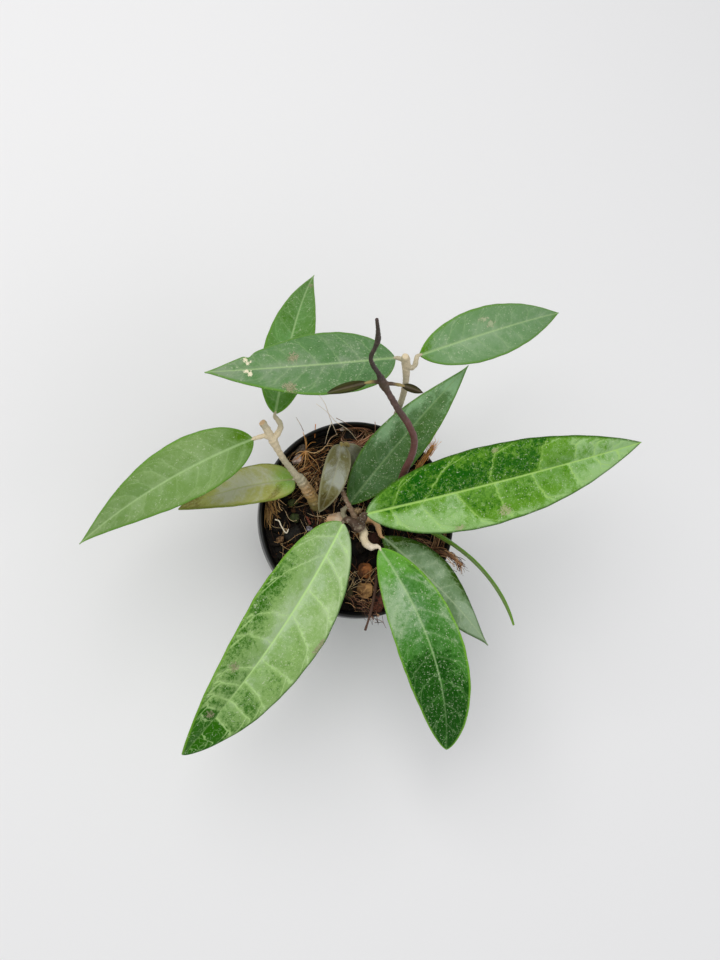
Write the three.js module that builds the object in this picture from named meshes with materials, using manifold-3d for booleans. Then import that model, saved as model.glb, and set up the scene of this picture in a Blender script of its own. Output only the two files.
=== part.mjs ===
// Potted hoya: a small black nursery pot filled with a coarse bark and coir mix, three
// old tan stems, one young dark shoot, thirteen leathery lance-shaped leaves and two bud
// leaves. Millimetres, +Z up, origin at the centre of the pot's underside.
import * as THREE from 'three';
import { mergeVertices } from 'three/addons/utils/BufferGeometryUtils.js';
import Module from 'manifold-3d';

const wasm = await Module();
wasm.setup();

// ---------- driving dimensions ----------
const POT_HEIGHT = 72;
const RIM_RADIUS = 40;
const BASE_RADIUS = 28;
const WALL = 1.2;
const LIP_HEIGHT = 6;
const POT_FACETS = 48;
const DRAIN_HOLES = 5;
const DRAIN_RADIUS = 3;
const DRAIN_CIRCLE = 17;

const SOIL_LEVEL = 64.8;
const SOIL_DISH = 2.4;
const SOIL_EDGE = 66;
const SOIL_BUMP = 0.8;
const SOIL_RINGS = 6;
const CLEARANCE = 0.3;

const CHIPS = 40;
const FIBRES = 34;
const FIBRE_CEILING = 71.5;
const RANDOM_SEED = 41;

const BLADE_THICKNESS = 1.2;
const BUD_THICKNESS = 1.0;
const BLADE_END_HALF = 0.9;
const BLADE_CURL = 0.06;
const BLADE_STEPS = 16;
const BLADE_ACROSS = 3;
const STEM_SIDES = 8;

// ---------- leaves ----------
// base and tip: ends of the midrib. rise: how far the midrib arches above its chord.
// sway: how far it bows to its right. width: across the widest part, which lies at the
// share `widest` of the length. fullness: below 1 the ends are blunter. roll and twist:
// degrees about the midrib. fold: degrees by which each half lifts from the midrib.
// skew: how much nearer the base the right half is at its widest than the left half.
// bite: a notch chewed from one margin, at a share of the length.
const LEAVES = {
  leaf_left_upper: { base: [-46, 24, 100], tip: [-107.5, -14.9, 84], rise: 9, sway: 2.1,
    width: 22.3, widest: 0.33, fullness: 0.59, roll: 3, twist: -1, fold: 10 },
  leaf_left_lower: { base: [-26.8, 13.8, 76], tip: [-71.5, 0.8, 74], rise: 3, sway: 1.7,
    width: 17.8, widest: 0.3, fullness: 0.37, roll: -22, twist: 3, fold: 8 },
  leaf_top: { base: [-37.5, 34.6, 100], tip: [-17.8, 103.9, 66], rise: 8, sway: -2.5,
    width: 18.6, widest: 0.31, fullness: 0.58, roll: 6, twist: -3, fold: 14 },
  leaf_back_left: { base: [3.4, 51.9, 122], tip: [-65.1, 44.7, 114], rise: 8, sway: -2.7,
    width: 25, widest: 0.35, fullness: 0.61, roll: -11, twist: -1, fold: 8,
    bite: { at: 0.775, side: 1, depth: 0.2, reach: 0.02 } },
  leaf_back_right: { base: [14.2, 54.8, 119], tip: [78, 83, 98], rise: 6, sway: 0.6,
    width: 20.4, widest: 0.38, fullness: 0.64, roll: -6, twist: 10, fold: 8 },
  leaf_dark_upright: { base: [-3.7, 5.6, 72.5], tip: [39, 58.1, 99], rise: 5, sway: -1.2,
    width: 19.8, widest: 0.39, fullness: 0.74, skew: -0.027, roll: -2, twist: -4, fold: 9 },
  leaf_right_large: { base: [0.1, -0.6, 88], tip: [110.6, 30.1, 100], rise: 9, sway: 1.9,
    width: 31.3, widest: 0.4, fullness: 0.63, roll: -19, twist: 0, fold: 14 },
  leaf_front_left: { base: [-8.5, -4, 83], tip: [-67.4, -91.4, 76], rise: 10, sway: -3.1,
    width: 34.1, widest: 0.44, fullness: 0.59, skew: 0.032, roll: 22, twist: 20, fold: 12 },
  leaf_front: { base: [6.8, -13.7, 82], tip: [38.1, -91.3, 63], rise: 9.5, sway: -4.6,
    width: 25.6, widest: 0.48, fullness: 0.63, roll: -23, twist: -9, fold: 10 },
  leaf_front_right: { base: [9.8, -7.9, 74], tip: [57.3, -49.7, 60], rise: 6.5, sway: -0.3,
    width: 20.3, widest: 0.37, fullness: 0.8, skew: -0.026, roll: 8, twist: 2, fold: 8 },
  leaf_edge_on: { base: [17.9, -1.2, 78], tip: [67.2, -41.6, 65], rise: 4, sway: -6.5,
    width: 10, widest: 0.4, fullness: 0.6, roll: 74, twist: 0, fold: 8 },
  leaf_silver_small: { base: [-9.7, 26.2, 86], tip: [-17.2, 0.7, 80], rise: 4.5, sway: -0.7,
    width: 10.4, widest: 0.35, fullness: 0.4, roll: 4, twist: -1, fold: 14 },
  leaf_silver_twin: { base: [-6.2, 27.2, 82.6], tip: [7, 17.5, 68.5], rise: -0.5, sway: 0.5,
    width: 8.6, widest: 0.4, fullness: 0.5, roll: -8, twist: 0, fold: 8 },
  bud_leaf_left: { base: [-10.4, 37.5, 137], tip: [-23.7, 33.9, 134], rise: 0.6, sway: 0,
    width: 3.4, widest: 0.45, fullness: 0.6, roll: 0, twist: 0, fold: 10,
    thickness: BUD_THICKNESS, steps: 8, across: 2, endHalf: 0.5 },
  bud_leaf_right: { base: [3.1, 37.5, 136], tip: [10.9, 35.9, 134], rise: 0.4, sway: 0,
    width: 2.8, widest: 0.4, fullness: 0.6, roll: 0, twist: 0, fold: 10,
    thickness: BUD_THICKNESS, steps: 8, across: 2, endHalf: 0.5 },
};

// ---------- stems ----------
// Every point is [x, y, z, radius] along the middle of the stem. A petiole with `to` runs
// on to the base of that leaf, in the direction of its midrib.
const STEMS = {
  stem_left: {
    trunk: [[-14, 4.2, 57, 2.2], [-17.5, 6.3, 70, 2.3], [-21.6, 10.2, 76.5, 2.2],
      [-24.9, 13.1, 81, 2.1], [-27, 14, 84, 1.5], [-29.9, 16.3, 87.5, 1.3],
      [-32.8, 18.5, 91, 1.25], [-35.7, 21.5, 95, 1.3], [-38.2, 24.6, 98.6, 1.8]],
    trunkSteps: 20,
    branches: [
      { to: 'leaf_left_upper', via: [[-38.2, 24.6, 98.6, 1.3], [-41, 25.6, 99.7, 1.05]] },
      { to: 'leaf_top', via: [[-38.2, 24.6, 98.6, 1.3], [-36.4, 26.9, 100, 1.2],
        [-35.6, 29.4, 101, 1.1], [-36.6, 31.6, 100.8, 1.0]] },
      { to: 'leaf_left_lower', via: [[-19.6, 8.2, 73, 1.3], [-22.4, 12.4, 74.4, 1.1]] },
      { via: [[-38.2, 24.6, 98.6, 1.4], [-40.6, 27.4, 101.4, 1.45], [-43, 29.8, 104, 1.4]] },
    ],
  },
  stem_back: {
    trunk: [[12, 29, 57, 1.5], [12.4, 32.6, 72, 1.4], [13, 38.4, 81, 1.3],
      [13.1, 42.8, 90.5, 1.2], [12.2, 44.6, 100, 1.2], [10.3, 47, 112, 1.2],
      [8.4, 50.3, 119.5, 1.6], [7.6, 51.5, 122.5, 1.7], [6.5, 51.7, 126, 1.2]],
    trunkSteps: 26,
    branches: [
      { to: 'leaf_back_left', via: [[7.8, 51.4, 122, 1.1], [6.2, 51.8, 122, 1.0]] },
      { to: 'leaf_back_right', via: [[8.4, 50.6, 120.4, 1.1], [10.6, 49.6, 119, 1.0],
        [12.2, 51, 118.4, 0.95], [12.6, 53, 118.6, 0.95]] },
    ],
  },
  stem_centre: {
    trunk: [[2.8, 0.6, 57, 2.4], [1.4, -1.2, 66, 2.4], [-0.4, -2.7, 74, 2.4],
      [-1.4, -4.1, 79, 2.8], [-1.8, -4.6, 82.5, 2.6]],
    trunkSteps: 12,
    branches: [
      { to: 'leaf_front_left', via: [[-1.8, -4.5, 81.5, 1.8], [-4.6, -3.2, 82.8, 1.6],
        [-6.7, -2.6, 83.4, 1.4]] },
      { to: 'leaf_right_large', via: [[-1.2, -3.6, 81, 2.0], [-1.0, -2.4, 84.6, 1.8],
        [-0.6, -1.5, 86.6, 1.5]] },
      { to: 'leaf_front', via: [[-0.4, -4.6, 80, 1.7], [0.9, -6.8, 79.2, 1.6],
        [1.0, -8.9, 78.4, 1.6], [1.9, -11.1, 78.5, 1.6], [3.7, -12.6, 79.8, 1.45]] },
      { to: 'leaf_front_right', via: [[1.4, -0.6, 69.5, 1.4], [4.8, -0.3, 71.8, 1.2],
        [7.2, -2.2, 73.4, 1.2], [8.0, -4.4, 74.0, 1.2]] },
      { to: 'leaf_dark_upright', via: [[0.6, -2.2, 69.5, 1.5], [-3.2, -1.2, 69.4, 1.2],
        [-5.6, 1, 70.2, 1.05], [-5.9, 3, 70.9, 1.0]] },
      { to: 'leaf_edge_on', via: [[1.6, -0.8, 67.5, 1.3], [8, -0.4, 73, 1.0],
        [14.6, -0.6, 76.8, 0.9]] },
      { via: [[-2.2, -3.2, 81, 1.3], [-4.3, 0.8, 81.8, 1.1], [-6, 3.8, 82.2, 1.0],
        [-8.0, 8.0, 82.2, 0.95], [-9.2, 13.6, 80.8, 0.9], [-9.4, 18.4, 79.4, 0.9],
        [-9.2, 22.6, 80.4, 0.9], [-9, 25.4, 82.4, 1.0]], steps: 14 },
      { to: 'leaf_silver_small', via: [[-9.1, 24.8, 81.8, 0.9], [-9.0, 26.2, 83.6, 0.85]] },
      { to: 'leaf_silver_twin', via: [[-9, 25.4, 82, 0.9], [-8.4, 26.8, 82.7, 0.85]] },
    ],
  },
  shoot_young: {
    trunk: [[20.3, 9.9, 57, 1.8], [18.5, 10.3, 66, 1.8], [16.9, 10.9, 75, 1.8],
      [15.3, 12.1, 83, 1.7], [14.2, 13.9, 89.5, 1.6], [14, 16.4, 96, 1.45],
      [14.7, 19.3, 101, 1.35], [14.7, 22.5, 106, 1.35], [13.4, 25.2, 111, 1.35],
      [11.3, 26.8, 115, 1.3], [8.8, 28.8, 119, 1.3], [4.9, 31.1, 124, 1.25],
      [1.7, 33.6, 128, 1.2], [-1.4, 36.1, 132, 1.2], [-4.1, 38.1, 136, 1.7],
      [-6.7, 39.8, 141, 0.95], [-9.9, 41.4, 146, 0.85], [-11.7, 42.6, 151, 0.8],
      [-11.6, 43.9, 157, 0.8], [-11.7, 45.1, 162, 1.05], [-13, 46.4, 168, 0.75],
      [-14.9, 47.6, 175, 0.6]],
    trunkSteps: 36,
    branches: [
      { to: 'bud_leaf_left', via: [[-4.1, 38.1, 136, 0.9], [-7, 38.2, 136.8, 0.7]] },
      { to: 'bud_leaf_right', via: [[-4.1, 38.1, 136, 0.9], [-1, 38, 136.2, 0.7]] },
    ],
  },
};

// ---------- loose pieces bedded in the mix ----------
// at: centre. half: half sizes before the turn. turn: degrees about +Z.
const STONES = {
  pebble_peach: { at: [-7.7, 0.3, 66.4], half: [4.1, 2.4, 2.3], turn: 8, colour: 0xe2b98f },
  pebble_brown: { at: [4, -20.6, 65.9], half: [2.8, 3.3, 2.4], turn: 10, colour: 0xa9622c },
  pebble_tan: { at: [4, -28.3, 66.5], half: [3.1, 3.1, 2.4], turn: 0, colour: 0xb98a58 },
  bark_chip: { at: [10.6, -31, 66.9], half: [3.2, 4.2, 1.8], turn: -20, colour: 0x7d3a28 },
  perlite_pink: { at: [-24.2, 23.9, 67.6], half: [2.6, 1.8, 1.8], turn: 30, colour: 0xd8c3b8 },
  perlite_white: { at: [-2.9, 32.8, 66.8], half: [2.2, 1.7, 1.7], turn: -25, colour: 0xe6e2da },
};

const COLOURS = {
  pot: 0x111213,
  mix: 0x3a2a1f,
  leaf: 0x2f7a35,
  darkLeaf: 0x2a5237,
  oliveLeaf: 0x5d6b45,
  silverLeaf: 0x77806c,
  budLeaf: 0x33231f,
  tanStem: 0xb29a78,
  youngStem: 0x4a2b2a,
};

const LEAF_COLOURS = {
  leaf_dark_upright: COLOURS.darkLeaf,
  leaf_front: COLOURS.darkLeaf,
  leaf_front_right: COLOURS.darkLeaf,
  leaf_left_lower: COLOURS.oliveLeaf,
  leaf_silver_small: COLOURS.silverLeaf,
  leaf_silver_twin: COLOURS.silverLeaf,
  bud_leaf_left: COLOURS.budLeaf,
  bud_leaf_right: COLOURS.budLeaf,
};

// ---------- helpers ----------
const radians = THREE.MathUtils.degToRad;
const { lerp, clamp } = THREE.MathUtils;

function seededRandom(seed) {
  let state = seed >>> 0;
  return () => {
    state = (state + 0x6d2b79f5) >>> 0;
    let mixed = Math.imul(state ^ (state >>> 15), 1 | state);
    mixed = (mixed + Math.imul(mixed ^ (mixed >>> 7), 61 | mixed)) ^ mixed;
    return ((mixed ^ (mixed >>> 14)) >>> 0) / 4294967296;
  };
}

function closedGeometry(positions, faces) {
  const geometry = new THREE.BufferGeometry();
  geometry.setAttribute('position', new THREE.Float32BufferAttribute(positions, 3));
  geometry.setIndex(faces);
  return geometry;
}

function toSolid(geometry) {
  const bare = geometry.clone();
  bare.deleteAttribute('normal');
  bare.deleteAttribute('uv');
  const merged = mergeVertices(bare, 1e-4);
  const mesh = new wasm.Mesh({
    numProp: 3,
    vertProperties: Float32Array.from(merged.attributes.position.array),
    triVerts: Uint32Array.from(merged.index.array),
  });
  return new wasm.Manifold(mesh);
}

function toGeometry(solid) {
  const mesh = solid.getMesh();
  return closedGeometry(Array.from(mesh.vertProperties), Array.from(mesh.triVerts));
}

function largestPiece(solid) {
  const pieces = solid.decompose();
  return pieces.reduce((a, b) => (a.volume() > b.volume() ? a : b));
}

function meshOf(name, geometry, colour, roughness = 0.6) {
  const shown = geometry.clone();
  shown.computeVertexNormals();
  const material = new THREE.MeshStandardMaterial({ color: colour, roughness, metalness: 0 });
  const mesh = new THREE.Mesh(shown, material);
  mesh.name = name;
  return mesh;
}

// ---------- leaf blades ----------
function midrib(leaf) {
  const base = new THREE.Vector3(...leaf.base);
  const tip = new THREE.Vector3(...leaf.tip);
  const along = tip.clone().sub(base).normalize();
  const side = along.clone().cross(new THREE.Vector3(0, 0, 1)).normalize();
  const up = side.clone().cross(along);
  const bend = base.clone().add(tip).multiplyScalar(0.5)
    .addScaledVector(up, 2 * leaf.rise)
    .addScaledVector(side, 2 * leaf.sway);
  return { curve: new THREE.QuadraticBezierCurve3(base, bend, tip), side };
}

function bladeHalfWidth(leaf, share, across) {
  const { fullness } = leaf;
  const widest = leaf.widest - (leaf.skew ?? 0) * Math.sign(across);
  const tipPower = fullness * (1 - widest) / widest;
  const swell = Math.pow(share / widest, fullness)
    * Math.pow((1 - share) / (1 - widest), tipPower);
  let half = Math.hypot(leaf.width / 2 * swell, leaf.endHalf ?? BLADE_END_HALF);
  if (leaf.bite && Math.sign(across) === leaf.bite.side) {
    const away = (share - leaf.bite.at) / leaf.bite.reach;
    half *= 1 - leaf.bite.depth * Math.exp(-away * away);
  }
  return half;
}

function bladePoint(leaf, rib, share, across, face) {
  const thickness = leaf.thickness ?? BLADE_THICKNESS;
  const middle = rib.curve.getPoint(share);
  const tangent = rib.curve.getTangent(share);
  const level = rib.side.clone().addScaledVector(tangent, -rib.side.dot(tangent)).normalize();
  const normal = level.clone().cross(tangent);
  const turn = radians(leaf.roll + leaf.twist * (share - 0.5));
  const right = level.clone().multiplyScalar(Math.cos(turn))
    .addScaledVector(normal, Math.sin(turn));
  const out = normal.clone().multiplyScalar(Math.cos(turn))
    .addScaledVector(level, -Math.sin(turn));
  const half = bladeHalfWidth(leaf, share, across);
  const lift = Math.abs(across) * half * Math.tan(radians(leaf.fold))
    - BLADE_CURL * across * across * half;
  return middle.addScaledVector(right, across * half)
    .addScaledVector(out, lift + face * thickness / 2);
}

function bladeGeometry(leaf) {
  const rib = midrib(leaf);
  const steps = leaf.steps ?? BLADE_STEPS;
  const columns = 2 * (leaf.across ?? BLADE_ACROSS) + 1;
  const positions = [];
  for (const face of [1, -1]) {
    for (let i = 0; i <= steps; i += 1) {
      const share = (1 - Math.cos(Math.PI * i / steps)) / 2;
      for (let j = 0; j < columns; j += 1) {
        const across = 2 * j / (columns - 1) - 1;
        positions.push(...bladePoint(leaf, rib, share, across, face).toArray());
      }
    }
  }
  const under = (steps + 1) * columns;
  const faces = [];
  for (let i = 0; i < steps; i += 1) {
    for (let j = 0; j < columns - 1; j += 1) {
      const a = i * columns + j;
      const b = a + 1;
      const c = a + columns;
      const d = c + 1;
      faces.push(a, b, d, a, d, c);
      faces.push(under + a, under + d, under + b, under + a, under + c, under + d);
    }
    for (const j of [0, columns - 1]) {
      const a = i * columns + j;
      const c = a + columns;
      const wall = [a, c, under + c, a, under + c, under + a];
      faces.push(...(j === 0 ? wall : wall.reverse()));
    }
  }
  for (let j = 0; j < columns - 1; j += 1) {
    for (const i of [0, steps]) {
      const a = i * columns + j;
      const b = a + 1;
      const wall = [b, a, under + a, b, under + a, under + b];
      faces.push(...(i === 0 ? wall : wall.reverse()));
    }
  }
  return closedGeometry(positions, faces);
}

// ---------- stems ----------
function stemGeometry(points, steps, sides = STEM_SIDES) {
  const curve = new THREE.CatmullRomCurve3(
    points.map(([x, y, z]) => new THREE.Vector3(x, y, z)), false, 'centripetal');
  const radiusAt = (share) => {
    const place = clamp(share * (points.length - 1), 0, points.length - 1 - 1e-9);
    const low = Math.floor(place);
    return lerp(points[low][3], points[low + 1][3], place - low);
  };
  let level = new THREE.Vector3(1, 0.3, 0);
  const positions = [];
  for (let i = 0; i <= steps; i += 1) {
    const share = i / steps;
    const middle = curve.getPoint(share);
    const tangent = curve.getTangent(share);
    level = level.clone().addScaledVector(tangent, -level.dot(tangent)).normalize();
    const across = tangent.clone().cross(level);
    for (let k = 0; k < sides; k += 1) {
      const angle = 2 * Math.PI * k / sides;
      positions.push(...middle.clone()
        .addScaledVector(level, radiusAt(share) * Math.cos(angle))
        .addScaledVector(across, radiusAt(share) * Math.sin(angle)).toArray());
    }
  }
  const faces = [];
  for (let i = 0; i < steps; i += 1) {
    for (let k = 0; k < sides; k += 1) {
      const a = i * sides + k;
      const b = i * sides + (k + 1) % sides;
      faces.push(a, b, b + sides, a, b + sides, a + sides);
    }
  }
  const start = positions.length / 3;
  positions.push(...curve.getPoint(0).toArray(), ...curve.getPoint(1).toArray());
  for (let k = 0; k < sides; k += 1) {
    const next = (k + 1) % sides;
    faces.push(start, next, k, start + 1, steps * sides + k, steps * sides + next);
  }
  return closedGeometry(positions, faces);
}

function petiolePath(branch) {
  if (!branch.to) {
    return branch.via;
  }
  const leaf = LEAVES[branch.to];
  const { curve } = midrib(leaf);
  const base = curve.getPoint(0);
  const tangent = curve.getTangent(0);
  const radius = (leaf.thickness ?? BLADE_THICKNESS) * 0.62;
  const near = base.clone().addScaledVector(tangent, -1.3);
  const end = base.clone().addScaledVector(tangent, -CLEARANCE);
  return [...branch.via, [...near.toArray(), radius * 1.15], [...end.toArray(), radius]];
}

function plantStem(stem) {
  let solid = toSolid(stemGeometry(stem.trunk, stem.trunkSteps));
  for (const branch of stem.branches) {
    const path = petiolePath(branch);
    const steps = branch.steps ?? 2 * (path.length - 1);
    solid = solid.add(toSolid(stemGeometry(path, steps)));
  }
  return largestPiece(solid);
}

// ---------- pot ----------
function wallRadius(z) {
  const lipStart = POT_HEIGHT - LIP_HEIGHT;
  return lerp(BASE_RADIUS, RIM_RADIUS - 1.6, z / lipStart);
}

function potSolid() {
  const lipStart = POT_HEIGHT - LIP_HEIGHT;
  const outer = [[0, 0], [BASE_RADIUS - 0.8, 0], [BASE_RADIUS, 0.8],
    [wallRadius(lipStart), lipStart - 0.6], [RIM_RADIUS, lipStart],
    [RIM_RADIUS, POT_HEIGHT - 0.6], [RIM_RADIUS - 0.4, POT_HEIGHT]];
  const inner = [[RIM_RADIUS - 1.0, POT_HEIGHT], [RIM_RADIUS - 1.4, POT_HEIGHT - 0.6],
    [RIM_RADIUS - 1.5, lipStart + 1.2], [wallRadius(lipStart) - WALL, lipStart - 0.2],
    [wallRadius(WALL) - WALL, WALL + 0.4], [0, WALL]];
  const profile = [...outer, ...inner].map(([r, z]) => new THREE.Vector2(r, z));
  const turned = new THREE.LatheGeometry(profile, POT_FACETS);
  turned.rotateX(Math.PI / 2);
  let pot = toSolid(turned);
  for (let i = 0; i < DRAIN_HOLES; i += 1) {
    const angle = 2 * Math.PI * (i + 0.5) / DRAIN_HOLES;
    const drill = new THREE.CylinderGeometry(DRAIN_RADIUS, DRAIN_RADIUS, 6, 16);
    drill.rotateX(Math.PI / 2);
    drill.translate(DRAIN_CIRCLE * Math.cos(angle), DRAIN_CIRCLE * Math.sin(angle), 0);
    pot = pot.subtract(toSolid(drill));
  }
  return pot;
}

// ---------- stones ----------
function stoneGeometry(stone, grow = 0) {
  const geometry = new THREE.IcosahedronGeometry(1, 1);
  const place = geometry.attributes.position;
  const shortest = Math.min(...stone.half);
  for (let i = 0; i < place.count; i += 1) {
    const p = new THREE.Vector3().fromBufferAttribute(place, i);
    const lump = 1 + 0.1 * Math.sin(4.1 * p.x + 2.3 * p.y + stone.at[1]) * Math.cos(3.7 * p.z);
    p.multiplyScalar(lump * (1 + grow / shortest));
    place.setXYZ(i, p.x * stone.half[0], p.y * stone.half[1], p.z * stone.half[2]);
  }
  geometry.rotateZ(radians(stone.turn));
  geometry.translate(...stone.at);
  return geometry;
}

// ---------- potting mix ----------
function soilHeight(x, y) {
  const share = Math.hypot(x, y) / RIM_RADIUS;
  return SOIL_LEVEL + SOIL_DISH * share * share
    + SOIL_BUMP * Math.sin(0.55 * x + 0.3) * Math.cos(0.48 * y - 0.8)
    + 0.5 * SOIL_BUMP * Math.sin(0.9 * x - 1.1 * y);
}

function mixBody() {
  const radiusOfTop = wallRadius(SOIL_EDGE) - WALL - CLEARANCE;
  const bottomZ = WALL + 0.4 + CLEARANCE;
  const radiusOfBottom = wallRadius(bottomZ) - WALL - 1.2 * CLEARANCE;
  const positions = [0, 0, soilHeight(0, 0)];
  for (let ring = 1; ring <= SOIL_RINGS; ring += 1) {
    const r = radiusOfTop * ring / SOIL_RINGS;
    for (let k = 0; k < POT_FACETS; k += 1) {
      const angle = 2 * Math.PI * k / POT_FACETS;
      const x = r * Math.cos(angle);
      const y = r * Math.sin(angle);
      const z = ring === SOIL_RINGS ? SOIL_EDGE : soilHeight(x, y);
      positions.push(x, y, z);
    }
  }
  const lastRing = 1 + (SOIL_RINGS - 1) * POT_FACETS;
  const bottomRing = lastRing + POT_FACETS;
  for (let k = 0; k < POT_FACETS; k += 1) {
    const angle = 2 * Math.PI * k / POT_FACETS;
    positions.push(radiusOfBottom * Math.cos(angle), radiusOfBottom * Math.sin(angle), bottomZ);
  }
  positions.push(0, 0, bottomZ);
  const centreBelow = bottomRing + POT_FACETS;
  const faces = [];
  for (let k = 0; k < POT_FACETS; k += 1) {
    const next = (k + 1) % POT_FACETS;
    faces.push(0, 1 + k, 1 + next);
    for (let ring = 0; ring < SOIL_RINGS; ring += 1) {
      const a = 1 + ring * POT_FACETS + k;
      const b = 1 + ring * POT_FACETS + next;
      faces.push(a, a + POT_FACETS, b + POT_FACETS, a, b + POT_FACETS, b);
    }
    faces.push(centreBelow, bottomRing + next, bottomRing + k);
  }
  return toSolid(closedGeometry(positions, faces));
}

// Places where no chip or fibre may stand: round the stems, petioles and stones.
function keptClear() {
  const spots = [];
  for (const stem of Object.values(STEMS)) {
    for (const [x, y, z, r] of stem.trunk.filter((p) => p[2] < 90)) {
      spots.push([x, y, z, r + 3]);
    }
    for (const branch of stem.branches) {
      for (const [x, y, z, r] of branch.via.filter((p) => p[2] < 90)) {
        spots.push([x, y, z, r + 3]);
      }
    }
  }
  for (const stone of Object.values(STONES)) {
    spots.push([...stone.at, Math.max(...stone.half) + 1.5]);
  }
  return spots;
}

function chipSolid(random, x, y) {
  const chip = new THREE.BoxGeometry(lerp(2.5, 7, random()), lerp(1.6, 3.4, random()),
    lerp(1, 2.2, random()));
  chip.rotateX(lerp(-0.7, 0.7, random()));
  chip.rotateY(lerp(-0.8, 0.8, random()));
  chip.rotateZ(2 * Math.PI * random());
  chip.translate(x, y, soilHeight(x, y) + lerp(-0.4, 0.5, random()));
  return toSolid(chip);
}

function fibreSolid(random, x, y) {
  const heading = 2 * Math.PI * random();
  const length = lerp(5, 13, random());
  const height = lerp(1, 6, random());
  const root = soilHeight(x, y);
  const points = [0, 0.35, 0.7, 1].map((share) => {
    const bend = heading + 0.7 * share;
    const reach = length * share;
    const lift = height * Math.sin(Math.PI * Math.min(1, 0.25 + share * 0.85)) - 1.6;
    return [x + reach * Math.cos(bend), y + reach * Math.sin(bend), root + lift,
      lerp(0.6, 0.4, share)];
  });
  return { points, solid: toSolid(stemGeometry(points, 3, 3)) };
}

// Two curled strips of husk and a twig that lean out over the rim.
const HUSK_STRIP = [[28, -10, 60, 1.6], [31.5, -11.6, 67, 1.6], [34.6, -13, 72.9, 1.2],
  [38, -15, 74.9, 0.9], [42.6, -18.6, 74.6, 0.7]];
const HUSK_TUFT = [[26.4, 21.4, 61, 1.4], [26.6, 23.4, 69, 1.4], [28.6, 27.2, 75.2, 1.1],
  [30.2, 30.3, 78.6, 0.8]];
const TWIG = [[9.4, -20.5, 63, 0.8], [8.2, -25, 68.6, 0.8], [6.4, -32, 72, 0.75],
  [4.4, -38.6, 74.4, 0.7], [2.2, -45, 75.2, 0.6]];

function pottingMix() {
  const random = seededRandom(RANDOM_SEED);
  const clearOf = keptClear();
  const isFree = (x, y, z, extra) => clearOf.every(([cx, cy, cz, r]) =>
    Math.hypot(x - cx, y - cy, z - cz) > r + extra);
  const edge = wallRadius(SOIL_LEVEL) - WALL - 1.5;
  let mix = mixBody();
  let placed = 0;
  while (placed < CHIPS) {
    const r = (edge - 3.2) * Math.sqrt(random());
    const angle = 2 * Math.PI * random();
    const x = r * Math.cos(angle);
    const y = r * Math.sin(angle);
    if (isFree(x, y, soilHeight(x, y), 1.5)) {
      mix = mix.add(chipSolid(random, x, y));
      placed += 1;
    }
  }
  placed = 0;
  while (placed < FIBRES) {
    const r = (edge - 1.5) * Math.sqrt(random());
    const angle = 2 * Math.PI * random();
    const x = r * Math.cos(angle);
    const y = r * Math.sin(angle);
    const { points, solid } = fibreSolid(random, x, y);
    const inside = points.every(([px, py, pz]) =>
      Math.hypot(px, py) < edge - 0.5 && pz < FIBRE_CEILING);
    if (inside && points.every(([px, py, pz]) => isFree(px, py, pz, 0))) {
      mix = mix.add(solid);
      placed += 1;
    }
  }
  mix = mix.add(toSolid(stemGeometry(HUSK_STRIP, 8, 6)));
  mix = mix.add(toSolid(stemGeometry(HUSK_TUFT, 6, 6)));
  mix = mix.add(toSolid(stemGeometry(TWIG, 8, 5)));
  for (const stem of Object.values(STEMS)) {
    const [foot, above] = stem.trunk;
    const reach = (80 - foot[2]) / (above[2] - foot[2]);
    const low = foot.map((value, i) => value - 0.03 * (above[i] - foot[i]));
    const socket = [...low.slice(0, 3), foot[3] + 2 * CLEARANCE];
    const next = [...above.slice(0, 3), above[3] + 2 * CLEARANCE];
    const high = foot.slice(0, 3).map((value, i) => value + reach * (above[i] - value));
    const mouth = above[2] >= 72 ? [socket, next]
      : [socket, next, [...high, above[3] + 2 * CLEARANCE]];
    mix = mix.subtract(toSolid(stemGeometry(mouth, mouth.length, 8)));
  }
  for (const stone of Object.values(STONES)) {
    mix = mix.subtract(toSolid(stoneGeometry(stone, 1.4 * CLEARANCE)));
  }
  return largestPiece(mix);
}

// ---------- assembly ----------
const hoya = new THREE.Group();
hoya.name = 'potted_hoya';
hoya.add(meshOf('pot', toGeometry(potSolid()), COLOURS.pot, 0.3));
hoya.add(meshOf('potting_mix', toGeometry(pottingMix()), COLOURS.mix, 0.95));
for (const [name, stem] of Object.entries(STEMS)) {
  const colour = name === 'shoot_young' ? COLOURS.youngStem : COLOURS.tanStem;
  hoya.add(meshOf(name, toGeometry(plantStem(stem)), colour, 0.7));
}
for (const [name, leaf] of Object.entries(LEAVES)) {
  hoya.add(meshOf(name, bladeGeometry(leaf), LEAF_COLOURS[name] ?? COLOURS.leaf, 0.4));
}
for (const [name, stone] of Object.entries(STONES)) {
  hoya.add(meshOf(name, toGeometry(toSolid(stoneGeometry(stone))), stone.colour, 0.8));
}

export default hoya;
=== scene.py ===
"""Potted hoya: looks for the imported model. Lengths are millimetres until a mesh is made."""

import math
import random

import bmesh
import bpy
import numpy as np
from mathutils import Matrix, Vector, kdtree, noise


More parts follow.
